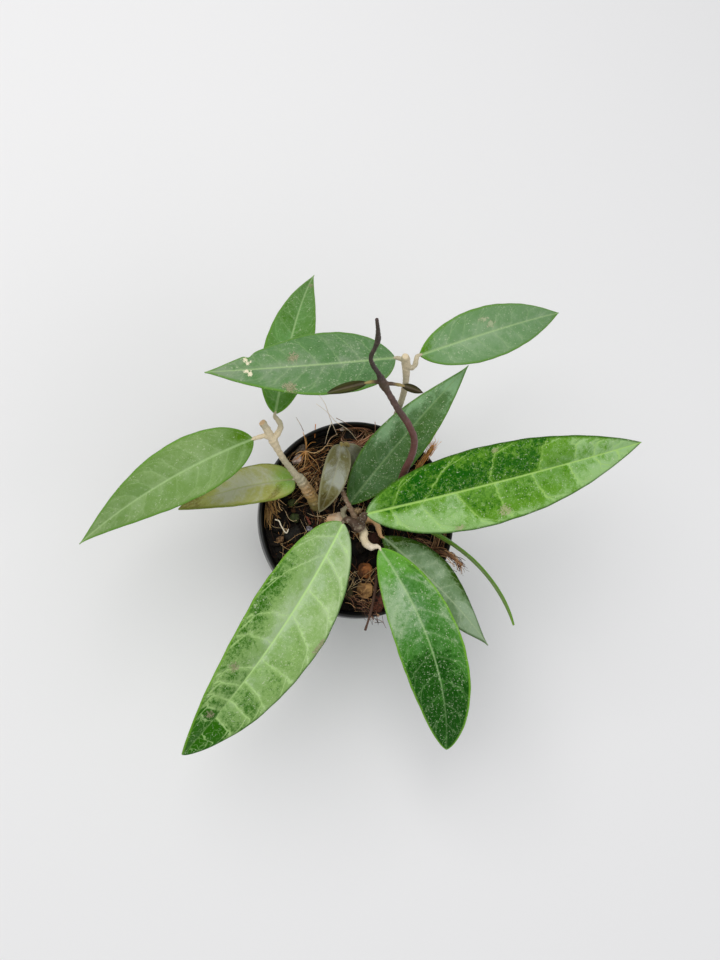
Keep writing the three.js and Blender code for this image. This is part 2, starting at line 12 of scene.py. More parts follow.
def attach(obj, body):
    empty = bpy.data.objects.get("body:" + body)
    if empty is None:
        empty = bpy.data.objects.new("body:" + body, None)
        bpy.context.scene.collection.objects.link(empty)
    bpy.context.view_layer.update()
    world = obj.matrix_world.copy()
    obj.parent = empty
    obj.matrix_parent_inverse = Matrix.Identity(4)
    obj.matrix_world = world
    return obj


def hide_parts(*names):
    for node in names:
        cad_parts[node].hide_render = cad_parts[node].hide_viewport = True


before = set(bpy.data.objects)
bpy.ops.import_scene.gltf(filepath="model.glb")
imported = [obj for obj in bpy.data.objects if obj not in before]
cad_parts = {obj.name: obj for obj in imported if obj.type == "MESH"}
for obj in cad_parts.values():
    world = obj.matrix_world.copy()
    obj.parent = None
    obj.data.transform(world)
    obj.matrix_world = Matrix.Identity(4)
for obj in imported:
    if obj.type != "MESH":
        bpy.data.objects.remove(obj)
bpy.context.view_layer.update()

MM = 0.001

# ---------- sizes shared with the solids ----------
POT_HEIGHT = 72.0
RIM_RADIUS = 40.0
BASE_RADIUS = 28.0
WALL = 1.2
LIP_HEIGHT = 6.0
DRAIN_HOLES = 5
DRAIN_RADIUS = 3.0
DRAIN_CIRCLE = 17.0
SOIL_LEVEL = 64.8
SOIL_DISH = 2.4
SOIL_EDGE = 66.0
SOIL_BUMP = 0.8
CLEARANCE = 0.3
BLADE_THICKNESS = 1.1
BLADE_CURL = 0.06
SEED = 41

# ---------- leaves ----------
# Shape: ends of the midrib, how far it arches above its chord and bows to its right, the
# width, the share of the length where the blade is widest, fullness (below 1 the ends are
# blunter), and roll, twist and fold in degrees. skew: how much nearer the base the right
# half is at its widest. thickness: for the thin bud leaves. bite: (share, side, depth,
# reach) of a notch in one margin.
# Look: a kind in LOOKS; palette: deep, light and pale colour of the blade; the pale end
# also paints the sheen on panes with a high tone.
# Across the blade, -1 and 1 are the margins.
# veins: the spacing of the side veins in mm, or for each half a list of veins as (share
# where it leaves the midrib, share where it nears the margin).
# tones: the tone of all panes, or for each half of every pane between two veins: 0 is
# deep, 0.5 light, 1 pale. The tones are partly the leaf's own colour and partly painted
# sheen and painted shade of panes that tilt towards or away from the light. rib_loss: how
# much of the midrib's colour the tip loses.
# patches: (share, across, reach along in mm, reach across in mm, change of tone); some are
# the leaf's own blotches, some painted sheen and some painted shade.
# marks: for each kind a list of (share, across, radius along in mm, radius across in mm).
LEAVES = {
    "leaf_left_upper": dict(
        base=(-46, 24, 100), tip=(-107.5, -14.9, 84), rise=9, sway=2.1, width=22.3, widest=0.33,
        fullness=0.59, roll=3, twist=-1, fold=10,
        look="green", palette="48710b 688849 819c63", veins=7.0, tones=0.48,
        patches=[(0.36, 0.35, 11, 5, 0.3), (0.25, -0.4, 9, 4, 0.15), (0.04, 0.4, 6, 7, -0.5),
                 (0.6, -0.3, 9, 4, 0.12), (0.94, 0.1, 7, 6, 0.3), (0.4, -0.95, 22, 3, 0.25)],
        marks=dict(dust=[(0.33, -0.85, 2.4, 1.2), (0.5, -0.5, 4, 4), (0.3, 0.3, 12, 6)])),
    "leaf_left_lower": dict(
        base=(-26.8, 13.8, 76), tip=(-71.5, 0.8, 74), rise=3, sway=1.7, width=17.8, widest=0.3,
        fullness=0.37, roll=-22, twist=3, fold=8,
        look="olive", palette="796f3c a4a55c bab99f", rib_loss=0.8, veins=5.5, tones=0.4,
        patches=[(0.06, 0.0, 5, 9, 0.1), (0.5, 0.0, 15, 8, 0.5), (0.88, 0.0, 9, 7, -0.5),
                 (0.2, -0.5, 9, 5, -0.3)],
        marks=dict(dust=[(0.15, -0.3, 5, 4), (0.45, 0.2, 4, 4)],
                   lime=[(0.06, 0.0, 5, 6)])),
    "leaf_top": dict(
        base=(-37.5, 34.6, 100), tip=(-17.8, 103.9, 66), rise=8, sway=-2.5, width=18.6, widest=0.31,
        fullness=0.58, roll=6, twist=-3, fold=14,
        look="green", palette="386c04 55823b 63974f", veins=7.5, tones=0.36,
        patches=[(0.4, -0.3, 8, 5, 0.15), (0.62, 0.3, 10, 4, 0.1), (0.92, 0.0, 6, 6, -0.3)],
        marks=dict(scar=[(0.845, 0.35, 1.8, 1.1)],
                   dust=[(0.6, -0.3, 10, 4)])),
    "leaf_back_left": dict(
        base=(3.4, 51.9, 122), tip=(-65.1, 44.7, 114), rise=8, sway=-2.7, width=25, widest=0.35,
        fullness=0.61, roll=-11, twist=-1, fold=8, bite=(0.775, 1, 0.2, 0.02),
        look="green", palette="2f4f30 557c4d 7c8f73", veins=7.0, tones=0.46,
        patches=[(0.45, 0.0, 16, 7, 0.18), (0.92, 0.1, 8, 9, 0.3), (0.6, -0.5, 8, 4, 0.12)],
        marks=dict(scar=[(0.565, -0.84, 2.3, 2.2), (0.54, 0.3, 2.2, 1.9)],
                   tear=[(0.755, -0.26, 0.8, 1.3), (0.775, -0.14, 1.4, 0.7), (0.768, 0.5, 1.0, 0.8),
                         (0.782, 0.72, 0.9, 1.0)],
                   dust=[(0.25, -0.3, 10, 6), (0.2, 0.3, 8, 6)])),
    "leaf_back_right": dict(
        base=(14.2, 54.8, 119), tip=(78, 83, 98), rise=6, sway=0.6, width=20.4, widest=0.38,
        fullness=0.64, roll=-6, twist=10, fold=8,
        look="green", palette="497904 698e5f 85a17a", scar_tint="a3b38c", veins=8.0, tones=0.5,
        patches=[(0.4, -0.35, 9, 4, 0.25), (0.2, 0.3, 8, 4, 0.12), (0.55, 0.2, 12, 5, 0.1),
                 (0.95, 0.0, 5, 6, -0.3), (0.03, 0.0, 4, 7, -0.4)],
        marks=dict(scar=[(0.392, -0.52, 2.3, 1.1), (0.435, -0.28, 2.1, 1.4)],
                   dust=[(0.2, 0.35, 6, 4), (0.55, -0.75, 5, 3), (0.11, -0.6, 2.5, 2)])),
    "leaf_dark_upright": dict(
        base=(-3.7, 5.6, 72.5), tip=(39, 58.1, 99), rise=5, sway=-1.2, width=19.8, widest=0.39,
        fullness=0.74, roll=-2, twist=-4, fold=9, skew=-0.027,
        look="dark", palette="3e642f 4f7346 8eb689", veins=8.0, tones=0.32,
        patches=[(0.95, 0.1, 10, 9, 0.55), (0.46, -0.7, 5, 3, 0.3), (0.08, 0.0, 6, 9, -0.2),
                 (0.2, -0.2, 9, 4, 0.1), (0.55, -0.95, 24, 4, 0.45), (0.75, 0.95, 14, 3, 0.3)],
        marks=dict(dust=[(0.46, -0.7, 6, 3), (0.3, 0.4, 10, 5), (0.62, 0.7, 5, 3), (0.1, 0.6, 4, 3),
                         (0.3, -0.2, 10, 4)])),
    "leaf_right_large": dict(
        base=(0.1, -0.6, 88), tip=(110.6, 30.1, 100), rise=9, sway=1.9, width=31.3, widest=0.4,
        fullness=0.63, roll=-19, twist=0, fold=14,
        look="bright", palette="045504 5a8e24 95bc79", scar_tint="99a070",
        veins=([(0.09, 0.13), (0.2, 0.29), (0.42, 0.445), (0.6, 0.615), (0.73, 0.735), (0.8, 0.815),
                (0.88, 0.9)],
               [(0.08, 0.11), (0.175, 0.225), (0.3, 0.36), (0.435, 0.45), (0.565, 0.6), (0.7, 0.72),
                (0.8, 0.84), (0.89, 0.91)]),
        # Pane tones on this leaf paint the sheen and shade of its tilted panes over its own colour.
        tones=([0.3, 0.14, 0.12, 0.16, 0.42, 0.56, 0.66, 0.7],
               [0.46, 0.62, 0.52, 0.3, 0.38, 0.44, 0.6, 0.56, 0.66]),
        # The patch at share 0.1 just below the midrib is a painted shadow of the midrib's fold.
        patches=[(0.02, -0.5, 4, 8, 0.4), (0.14, 0.6, 8, 3.5, 0.25), (0.27, 0.55, 6, 3, 0.3),
                 (0.1, 0.05, 12, 1.6, -0.6), (0.4, -0.8, 10, 2.5, 0.2), (0.72, -0.75, 9, 3, 0.15),
                 (0.8, 0.5, 10, 4, 0.15), (0.55, 0.95, 60, 4, 0.3)],
        marks=dict(scar=[(0.447, 0.7, 2.6, 2.0), (0.29, 0.88, 2.2, 1.0), (0.45, -0.84, 1.6, 0.9)],
                   dust=[(0.15, 0.62, 7, 3.5), (0.27, 0.4, 6, 4), (0.25, -0.1, 12, 2.5),
                         (0.46, -0.2, 9, 3), (0.5, -0.88, 12, 1.8), (0.53, 0.4, 6, 5)])),
    "leaf_front_left": dict(
        base=(-8.5, -4, 83), tip=(-67.4, -91.4, 76), rise=10, sway=-3.1, width=34.1, widest=0.44,
        fullness=0.59, roll=22, twist=20, fold=12, skew=0.032,
        look="two_tone_sheen", palette="246004 86a962 afc895", rib_loss=0.8,
        veins=([(0.06, 0.1), (0.145, 0.2), (0.28, 0.31), (0.39, 0.46), (0.575, 0.577), (0.67, 0.7),
                (0.755, 0.77), (0.83, 0.845), (0.9, 0.92)],
               [(0.06, 0.12), (0.135, 0.3), (0.4, 0.46), (0.51, 0.535), (0.615, 0.68), (0.69, 0.72),
                (0.755, 0.765), (0.8, 0.81), (0.845, 0.855)]),
        # Pane tones and patches on this leaf paint a greyish sheen over the upper half and painted
        # shade in the darker strip by the margin at across 0.9, over its own colour.
        tones=([0.58, 0.6, 0.58, 0.6, 0.46, 0.44, 0.26, 0.34, 0.02, 0.06],
               [0.6, 0.66, 0.64, 0.52, 0.42, 0.32, 0.28, 0.2, 0.02, 0.06]),
        patches=[(0.37, 0.9, 24, 9, -0.5), (0.1, -0.9, 8, 4, 0.3), (0.58, -0.55, 9, 5, -0.1),
                 (0.31, -0.75, 5, 3, 0.2), (0.42, 0.12, 14, 4, 0.3), (0.96, 0.0, 12, 12, -0.3)],
        marks=dict(scar=[(0.645, 0.55, 1.8, 2.0), (0.825, 0.35, 1.6, 2.2), (0.415, -0.93, 2.0, 1.0),
                         (0.44, -0.92, 2.2, 1.2)],
                   dust=[(0.5, -0.4, 9, 5), (0.1, 0.5, 9, 7), (0.2, -0.5, 10, 6)])),
    "leaf_front": dict(
        base=(6.8, -13.7, 82), tip=(38.1, -91.3, 63), rise=9.5, sway=-4.6, width=25.6, widest=0.48,
        fullness=0.63, roll=-23, twist=-9, fold=10,
        look="blue", palette="064606 3e7a2c 98b28c", rib_loss=0.7, veins=9.0, tones=(0.2, 0.3),
        # The patch at share 0.34, across 0.4 paints a grey sheen on the upper half.
        patches=[(0.34, 0.4, 13, 6, 0.35), (0.2, 0.1, 9, 6, 0.15), (0.36, -0.85, 20, 6, 0.5),
                 (0.3, 0.9, 16, 4, 0.35), (0.4, -0.2, 9, 3, 0.2), (0.56, 0.3, 5, 9, -0.2),
                 (0.85, 0.2, 16, 12, -0.4)],
        marks=dict(dust=[(0.27, -0.5, 4, 3), (0.33, -0.62, 3, 3), (0.45, -0.6, 4, 3),
                         (0.56, -0.5, 6, 4), (0.66, -0.6, 4, 3), (0.2, 0.2, 8, 4), (0.6, 0.2, 8, 5),
                         (0.8, 0.0, 8, 7), (0.36, 0.1, 8, 3)],
                   lime=[(0.05, 0.4, 8, 7), (0.08, -0.6, 6, 4)])),
    "leaf_front_right": dict(
        base=(9.8, -7.9, 74), tip=(57.3, -49.7, 60), rise=6.5, sway=-0.3, width=20.3, widest=0.37,
        fullness=0.8, roll=8, twist=2, fold=8, skew=-0.026,
        look="grey", palette="2c4b04 66835b 8fa586", veins=8.0, tones=0.45,
        patches=[(0.05, 0.0, 8, 9, -0.4), (0.38, -0.5, 8, 4, 0.35), (0.35, -0.92, 24, 2, -0.5),
                 (0.7, -0.2, 9, 7, 0.2), (0.9, 0.0, 11, 9, 0.6)],
        marks=dict(dust=[(0.38, -0.55, 6, 4), (0.5, -0.1, 16, 2), (0.1, -0.5, 5, 4)])),
    "leaf_edge_on": dict(
        base=(17.9, -1.2, 78), tip=(67.2, -41.6, 65), rise=4, sway=-6.5, width=10, widest=0.4,
        fullness=0.6, roll=74, twist=0, fold=8,
        look="narrow", palette="4a7418 5c8828 7c9e48", veins=7.0, tones=0.4),
    "leaf_silver_small": dict(
        base=(-9.7, 26.2, 86), tip=(-17.2, 0.7, 80), rise=4.5, sway=-0.7, width=10.4, widest=0.35,
        fullness=0.4, roll=4, twist=-1, fold=14,
        look="silver", palette="4b3f20 6a6442 9a9b92", rib_loss=0.7, veins=4.5, tones=0.24,
        patches=[(0.46, -0.6, 7, 3.6, 0.6), (0.45, 0.6, 5, 3.2, 0.6), (0.06, 0.0, 3.5, 6, 0.2),
                 (0.86, 0.0, 7, 5, -0.35)]),
    "leaf_silver_twin": dict(
        base=(-6.2, 27.2, 82.6), tip=(7, 17.5, 68.5), rise=-0.5, sway=0.5, width=8.6, widest=0.4,
        fullness=0.5, roll=-8, twist=0, fold=8,
        look="silver", palette="4a4a2e 7e7b64 a2a298", veins=4.5, tones=0.45),
    "bud_leaf_left": dict(
        base=(-10.4, 37.5, 137), tip=(-23.7, 33.9, 134), rise=0.6, sway=0, width=3.6, widest=0.45,
        fullness=0.6, roll=0, twist=0, fold=10, thickness=0.9,
        look="bud", palette="2a1f18 3a2a20 5a5148", veins=3.0, tones=0.2),
    "bud_leaf_right": dict(
        base=(3.1, 37.5, 136), tip=(10.9, 35.9, 134), rise=0.4, sway=0, width=3.0, widest=0.4,
        fullness=0.6, roll=0, twist=0, fold=10, thickness=0.9,
        look="bud", palette="2a1f18 3a2a20 5a5148", veins=3.0, tones=0.2),
}

# For each kind of leaf: its slot; colours of vein, margin, right margin where it differs,
# and underside; how strong the veins and flecks are, how far the panes swell in mm, the
# roughness, and how strong the mottling and the painted sheen by the midrib are; that
# sheen is a reflection painted into the colour.
LOOKS = {
    "green": dict(slot="leaf_green", vein="a6c48a", margin="5c8a2e", under="93ac74", veins=0.19,
                  flecks=0.6, swell=0.2, rough=0.46, mottle=0.5, painted_sheen=0.12),
    "olive": dict(slot="leaf_olive", vein="a9ad78", margin="6f7a30", under="9aa070", veins=0.28,
                  flecks=0.45, swell=0.18, rough=0.48, mottle=0.6, painted_sheen=0.1),
    "dark": dict(slot="leaf_dark", vein="8aa874", margin="55802c", under="7c945c", veins=0.22,
                 flecks=0.9, swell=0.2, rough=0.46, mottle=0.75, painted_sheen=0.1),
    "blue": dict(slot="leaf_dark", vein="a0c088", margin="74aa34", under="84a060", veins=0.22,
                 flecks=0.85, swell=0.2, rough=0.42, mottle=0.8, painted_sheen=0.3),
    "grey": dict(slot="leaf_dark", vein="a4b892", margin="33521c", under="7c9864", veins=0.3,
                 flecks=0.7, swell=0.2, rough=0.48, mottle=0.6, painted_sheen=0.3),
    "bright": dict(slot="leaf_bright", vein="a8cf70", margin="2c5510", under="8cb05a", veins=0.55,
                   flecks=1, swell=0.5, rough=0.38, mottle=0.9, painted_sheen=0.3),
    # Its two tones are the greyish painted sheen and the deeper green of the rest.
    "two_tone_sheen": dict(slot="leaf_bright", vein="b8dc90", margin="2f5c12", margin_far="6c9c30",
                    under="8cb05a", veins=0.6, flecks=0.85, swell=0.42, rough=0.42, mottle=0.7,
                    painted_sheen=0.4),
    "narrow": dict(slot="leaf_green", vein="8fae58", margin="56842a", under="74983c", veins=0.2,
                   flecks=0.3, swell=0.08, rough=0.42, mottle=0.4, painted_sheen=0),
    "silver": dict(slot="leaf_silver", vein="9c9a84", margin="8a866a", under="7c7c5c", veins=0.16,
                   flecks=0.4, swell=0.12, rough=0.42, mottle=0.6, painted_sheen=0),
    "bud": dict(slot="bud_leaf", vein="6a5f54", margin="241a14", under="3b2b22", veins=0, flecks=0,
                swell=0.0, rough=0.4, mottle=0.3, painted_sheen=0),
}

# Painted sheen: the greyish colour of a reflection, laid over the leaves by the midrib.
PAINTED_SHEEN_TINT = "93ad96"
LIME_TINT = "68a83c"
FLECK_TINT = "c6d2b2"
SCAR_TINT = "857c62"
SCAR_PALE = "b4b093"
TORN_TINT = "e4dcc0"

# ---------- stems: points (x, y, z, radius, colour) along the middle ----------
# A path that ends in the name of a leaf is the petiole of that leaf. flaky_below: the
# height in mm below which the bark peels.
STEM_COLOURS = {
    "tan": "bab094", "pale": "d6c6a6", "wood": "c8a06c", "olive": "968650",
    "node": "4e3c2e", "shoot": "6a423e", "shoot_high": "563e38", "shoot_tip": "3c2d2a",
    "cut": "c4a47c", "thin": "7d6650", "green": "6f8a4c", "sheath": "e0d2bc",
    "peach": "d4a878", "bud": "4a3a28",
}
STEMS = {
    "stem_left": dict(slot="old_stem", flaky_below=84, paths=[
        [(-14, 4.2, 57, 2.2, "olive"), (-17.5, 6.3, 70, 2.4, "olive"),
         (-21.6, 10.2, 76.5, 2.2, "wood"), (-24.9, 13.1, 81, 2.0, "tan"), (-27, 14, 84, 1.5, "tan"),
         (-29.9, 16.3, 87.5, 1.3, "tan"), (-32.8, 18.5, 91, 1.25, "tan"),
         (-35.7, 21.5, 95, 1.3, "pale"), (-38.2, 24.6, 98.6, 1.8, "pale")],
        [(-38.2, 24.6, 98.6, 1.3, "pale"), (-41, 25.6, 99.7, 1.05, "pale"), "leaf_left_upper"],
        [(-38.2, 24.6, 98.6, 1.3, "pale"), (-36.4, 26.9, 100, 1.2, "pale"),
         (-35.6, 29.4, 101, 1.1, "tan"), (-36.6, 31.6, 100.8, 1.0, "tan"), "leaf_top"],
        [(-19.6, 8.2, 73, 1.3, "wood"), (-22.4, 12.4, 74.4, 1.1, "sheath"), "leaf_left_lower"],
        [(-38.2, 24.6, 98.6, 1.4, "pale"), (-40.6, 27.4, 101.4, 1.45, "pale"),
         (-42.5, 29.4, 103.5, 1.4, "tan"), (-43, 29.8, 104, 1.4, "cut")],
    ]),
    "stem_back": dict(slot="old_stem", paths=[
        [(12, 29, 57, 1.5, "wood"), (12.4, 32.6, 72, 1.4, "tan"), (13, 38.4, 81, 1.3, "tan"),
         (13.1, 42.8, 90.5, 1.2, "tan"), (12.2, 44.6, 100, 1.2, "tan"), (10.3, 47, 112, 1.2, "tan"),
         (8.4, 50.3, 119.5, 1.6, "pale"), (7.6, 51.5, 122.5, 1.7, "pale"),
         (6.5, 51.7, 126, 1.2, "pale")],
        [(7.8, 51.4, 122, 1.1, "pale"), (6.2, 51.8, 122, 1.0, "tan"), "leaf_back_left"],
        [(8.4, 50.6, 120.4, 1.1, "pale"), (10.6, 49.6, 119, 1.0, "tan"),
         (12.2, 51, 118.4, 0.95, "tan"), (12.6, 53, 118.6, 0.95, "tan"), "leaf_back_right"],
    ]),
    "stem_centre": dict(slot="old_stem", paths=[
        [(2.8, 0.6, 57, 2.4, "wood"), (1.4, -1.2, 66, 2.4, "wood"), (-0.4, -2.7, 74, 2.4, "node"),
         (-1.4, -4.1, 79, 2.8, "node"), (-1.8, -4.6, 82.5, 2.6, "node")],
        [(-1.8, -4.5, 81.5, 1.8, "node"), (-4.6, -3.2, 82.8, 1.6, "node"),
         (-6.7, -2.6, 83.4, 1.4, "node"), "leaf_front_left"],
        [(-1.2, -3.6, 81, 2.0, "node"), (-1.0, -2.4, 84.6, 1.8, "node"),
         (-0.6, -1.5, 86.6, 1.5, "node"), "leaf_right_large"],
        [(-0.4, -4.6, 80, 1.7, "node"), (0.9, -6.8, 79.2, 1.6, "pale"),
         (1.0, -8.9, 78.4, 1.6, "pale"), (1.9, -11.1, 78.5, 1.6, "pale"),
         (3.7, -12.6, 79.8, 1.45, "sheath"), "leaf_front"],
        [(1.4, -0.6, 69.5, 1.4, "wood"), (4.8, -0.3, 71.8, 1.2, "peach"),
         (7.2, -2.2, 73.4, 1.2, "peach"), (8.0, -4.4, 74.0, 1.2, "peach"), "leaf_front_right"],
        [(0.6, -2.2, 69.5, 1.5, "wood"), (-3.2, -1.2, 69.4, 1.2, "tan"),
         (-5.6, 1, 70.2, 1.05, "tan"), (-5.9, 3, 70.9, 1.0, "tan"), "leaf_dark_upright"],
        [(1.6, -0.8, 67.5, 1.3, "wood"), (8, -0.4, 73, 1.0, "olive"),
         (14.6, -0.6, 76.8, 0.9, "green"), "leaf_edge_on"],
        [(-2.2, -3.2, 81, 1.3, "thin"), (-4.3, 0.8, 81.8, 1.1, "thin"),
         (-6, 3.8, 82.2, 1.0, "thin"), (-8.0, 8.0, 82.2, 0.95, "thin"),
         (-9.2, 13.6, 80.8, 0.9, "thin"), (-9.4, 18.4, 79.4, 0.9, "thin"),
         (-9.2, 22.6, 80.4, 0.9, "thin"), (-9, 25.4, 82.4, 1.0, "thin")],
        [(-9.1, 24.8, 81.8, 0.9, "thin"), (-9.0, 26.2, 83.6, 0.85, "olive"), "leaf_silver_small"],
        [(-9, 25.4, 82, 0.9, "thin"), (-8.4, 26.8, 82.7, 0.85, "olive"), "leaf_silver_twin"],
    ]),
    "shoot_young": dict(slot="young_shoot", paths=[
        [(20.3, 9.9, 57, 1.8, "shoot"), (18.5, 10.3, 66, 1.8, "shoot"),
         (16.9, 10.9, 75, 1.8, "shoot"), (15.3, 12.1, 83, 1.7, "shoot"),
         (14.2, 13.9, 89.5, 1.6, "shoot"), (14, 16.4, 96, 1.45, "shoot"),
         (14.7, 19.3, 101, 1.35, "shoot"), (14.7, 22.5, 106, 1.35, "shoot"),
         (13.4, 25.2, 111, 1.35, "shoot"), (11.3, 26.8, 115, 1.3, "shoot"),
         (8.8, 28.8, 119, 1.3, "shoot"), (4.9, 31.1, 124, 1.25, "shoot_high"),
         (1.7, 33.6, 128, 1.2, "shoot_high"), (-1.4, 36.1, 132, 1.2, "shoot_high"),
         (-4.1, 38.1, 136, 1.7, "node"), (-6.7, 39.8, 141, 0.95, "shoot_tip"),
         (-9.9, 41.4, 146, 0.85, "shoot_tip"), (-11.7, 42.6, 151, 0.8, "shoot_tip"),
         (-11.6, 43.9, 157, 0.8, "shoot_tip"), (-11.7, 45.1, 162, 1.05, "shoot_tip"),
         (-13, 46.4, 168, 0.75, "shoot_tip"), (-14.9, 47.6, 175, 0.6, "shoot_tip")],
        [(-4.1, 38.1, 136, 0.9, "node"), (-7, 38.2, 136.8, 0.7, "bud"), "bud_leaf_left"],
        [(-4.1, 38.1, 136, 0.9, "node"), (-1, 38, 136.2, 0.7, "bud"), "bud_leaf_right"],
    ]),
}

# ---------- stones: centre, half sizes, turn, colours ----------
STONES = {
    "pebble_peach": dict(at=(-7.7, 0.3, 66.4), half=(4.1, 2.4, 2.3), turn=8,
                         slot="pebble", tints=("ffe6cc", "f2c8a2")),
    "pebble_brown": dict(at=(4, -20.6, 65.9), half=(2.8, 3.3, 2.4), turn=10,
                         slot="pebble", tints=("b4703e", "5a3720")),
    "pebble_tan": dict(at=(4, -28.3, 66.5), half=(3.1, 3.1, 2.4), turn=0,
                       slot="pebble", tints=("d0a068", "84603c")),
    "bark_chip": dict(at=(10.6, -31, 66.9), half=(3.2, 4.2, 1.8), turn=-20,
                      slot="bark", tints=("7a4030", "2c1812")),
    "perlite_pink": dict(at=(-24.2, 23.9, 67.6), half=(2.6, 1.8, 1.8), turn=30,
                         slot="perlite", tints=("e6d2c8", "b59a8e")),
    "perlite_white": dict(at=(-2.2, 31.8, 66.4), half=(2.2, 1.0, 1.5), turn=8,
                          slot="perlite", tints=("e6c8b8", "a8887a")),
}


# ---------- shapes ----------
def linear(hex_colour):
    """Linear RGBA of an sRGB hex colour."""
    parts = [int(hex_colour[i:i + 2], 16) / 255 for i in (0, 2, 4)]
    return tuple(p / 12.92 if p <= 0.04045 else ((p + 0.055) / 1.055) ** 2.4
                 for p in parts) + (1.0,)


def name_seed(name):
    """The same number each run for the same name."""
    return sum(map(ord, name))


def unit(vectors):
    return vectors / np.linalg.norm(vectors, axis=-1, keepdims=True)


def polar(radius, angle):
    return radius * math.cos(angle), radius * math.sin(angle)


def circle(radius, z, sides):
    return [(*polar(radius, 2 * math.pi * k / sides), z) for k in range(sides)]


def run_along(path):
    """Length of a path up to each of its points."""
    return np.concatenate([[0], np.cumsum(np.linalg.norm(np.diff(path, axis=0), axis=1))])


def spline(points, per_span):
    """A Catmull-Rom curve through rows of numbers."""
    data = np.array(points, float)
    padded = np.vstack([2 * data[0] - data[1], data, 2 * data[-1] - data[-2]])
    t = np.linspace(0, 1, per_span, endpoint=False)[:, None]
    spans = [0.5 * (2 * b + (c - a) * t + (2 * a - 5 * b + 4 * c - d) * t * t
                    + (3 * b - 3 * c + d - a) * t ** 3)
             for a, b, c, d in zip(padded, padded[1:], padded[2:], padded[3:])]
    return np.vstack([*spans, data[-1:]])


def tube(path, radii, sides):
    """Points and faces of a closed tube along a path."""
    tangent = unit(np.gradient(path, axis=0))
    level = np.array([1.0, 0.3, 0.1])
    points, faces = [], []
    angles = 2 * np.pi * np.arange(sides) / sides
    for place, radius, ahead in zip(path, radii, tangent):
        level = level - ahead * (level @ ahead)
        level /= np.linalg.norm(level)
        across = np.cross(ahead, level)
        points.append(place + radius * (np.outer(np.cos(angles), level)
                                        + np.outer(np.sin(angles), across)))
    last = (len(path) - 1) * sides
    for start in range(0, last, sides):
        for k in range(sides):
            a, b = start + k, start + (k + 1) % sides
            faces.append((a, b, b + sides, a + sides))
    faces.append(tuple(reversed(range(sides))))
    faces.append(tuple(range(last, last + sides)))
    return np.vstack(points), faces


def revolve(profile, sides):
    """Points and faces of a profile of (radius, height) turned about the axis."""
    points, rings, faces = [], [], []
    for r, z in profile:
        rings.append(len(points))
        points.extend(circle(r, z, sides) if r else [(0, 0, z)])
    for (r, _), (next_r, _), low, high in zip(profile, profile[1:], rings, rings[1:]):
        for k in range(sides):
            n = (k + 1) % sides
            if r == 0:
                faces.append((low, high + n, high + k))
            elif next_r == 0:
                faces.append((low + k, low + n, high))
            else:
                faces.append((low + k, low + n, high + n, high + k))
    return points, faces


def merge(parts):
    """Bodies of (points, faces) as one."""
    points, faces, start = [], [], 0
    for more_points, more_faces in parts:
        points.append(more_points)
        faces.extend(tuple(v + start for v in face) for face in more_faces)
        start += len(more_points)
    return np.vstack(points), faces


def points_and_faces(shape):
    """Takes a bmesh apart, and frees it."""
    points = np.array([v.co[:] for v in shape.verts])
    faces = [tuple(v.index for v in f.verts) for f in shape.faces]
    shape.free()
    return points, faces


# ---------- objects ----------
def link(name, data):
    """A new object in the scene."""
    obj = bpy.data.objects.new(name, data)
    bpy.context.scene.collection.objects.link(obj)
    return obj


def make_object(name, points, faces, material, slot, replaces, smooth=True):
    """An object from points in millimetres; it rides on the one body."""
    mesh = bpy.data.meshes.new(name)
    mesh.from_pydata((np.asarray(points, float) * MM).tolist(), [], faces)
    mesh.validate()
    mesh.update()
    mesh.polygons.foreach_set("use_smooth", [smooth] * len(mesh.polygons))
    mesh.materials.append(material)
    obj = link(name, mesh)
    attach(obj, "root")
    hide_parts(replaces)
    return obj


def make_heap(name, parts, material, smooth=True):
    """Many small bodies of (points, faces, colour) as one piece of the mix."""
    points, faces = merge(part[:2] for part in parts)
    heap = make_object(name, points, faces, material, "potting_mix", "potting_mix", smooth)
    store_colour(heap.data, "tint", [colour for body, _, colour in parts for _ in body])


def apply_modifiers(obj):
    bpy.context.view_layer.update()
    graph = bpy.context.evaluated_depsgraph_get()
    mesh = bpy.data.meshes.new_from_object(obj.evaluated_get(graph))
    obj.modifiers.clear()
    obj.data = mesh


def store(mesh, name, values):
    """Keeps one number for each vertex."""
    attribute = mesh.attributes.new(name, "FLOAT", "POINT")
    attribute.data.foreach_set("value", np.asarray(values, np.float32).ravel())


def store_colour(mesh, name, colours):
    attribute = mesh.color_attributes.new(name, "FLOAT_COLOR", "POINT")
    attribute.data.foreach_set("color", np.asarray(colours, np.float32).ravel())


# ---------- materials ----------
class Field:
    """A number that varies over a surface, as a chain of Math nodes."""

    def __init__(self, look, socket):
        self.look = look
        self.socket = socket

    def op(self, operation, *others):
        inputs = dict(enumerate((self, *others)))
        return Field(self.look, self.look.add("Math", inputs, operation=operation).outputs[0])

    def __add__(self, other):
        return self.op("ADD", other)

    def __sub__(self, other):
        return self.op("SUBTRACT", other)

    def __mul__(self, other):
        return self.op("MULTIPLY", other)

    def absolute(self):
        return self.op("ABSOLUTE")

    def at_least(self, other):
        return self.op("MAXIMUM", other)

    def at_most(self, other):
        return self.op("MINIMUM", other)

    def flip(self):
        return self * -1.0 + 1.0

    def fade(self, low, high):
        """0 at low, 1 at high, smooth between; low may be the larger."""
        down = low > high
        node = self.look.add(
            "MapRange", {"Value": self, "From Min": min(low, high), "From Max": max(low, high),
                         "To Min": float(down), "To Max": float(not down)},
            interpolation_type="SMOOTHSTEP")
        return Field(self.look, node.outputs["Result"])


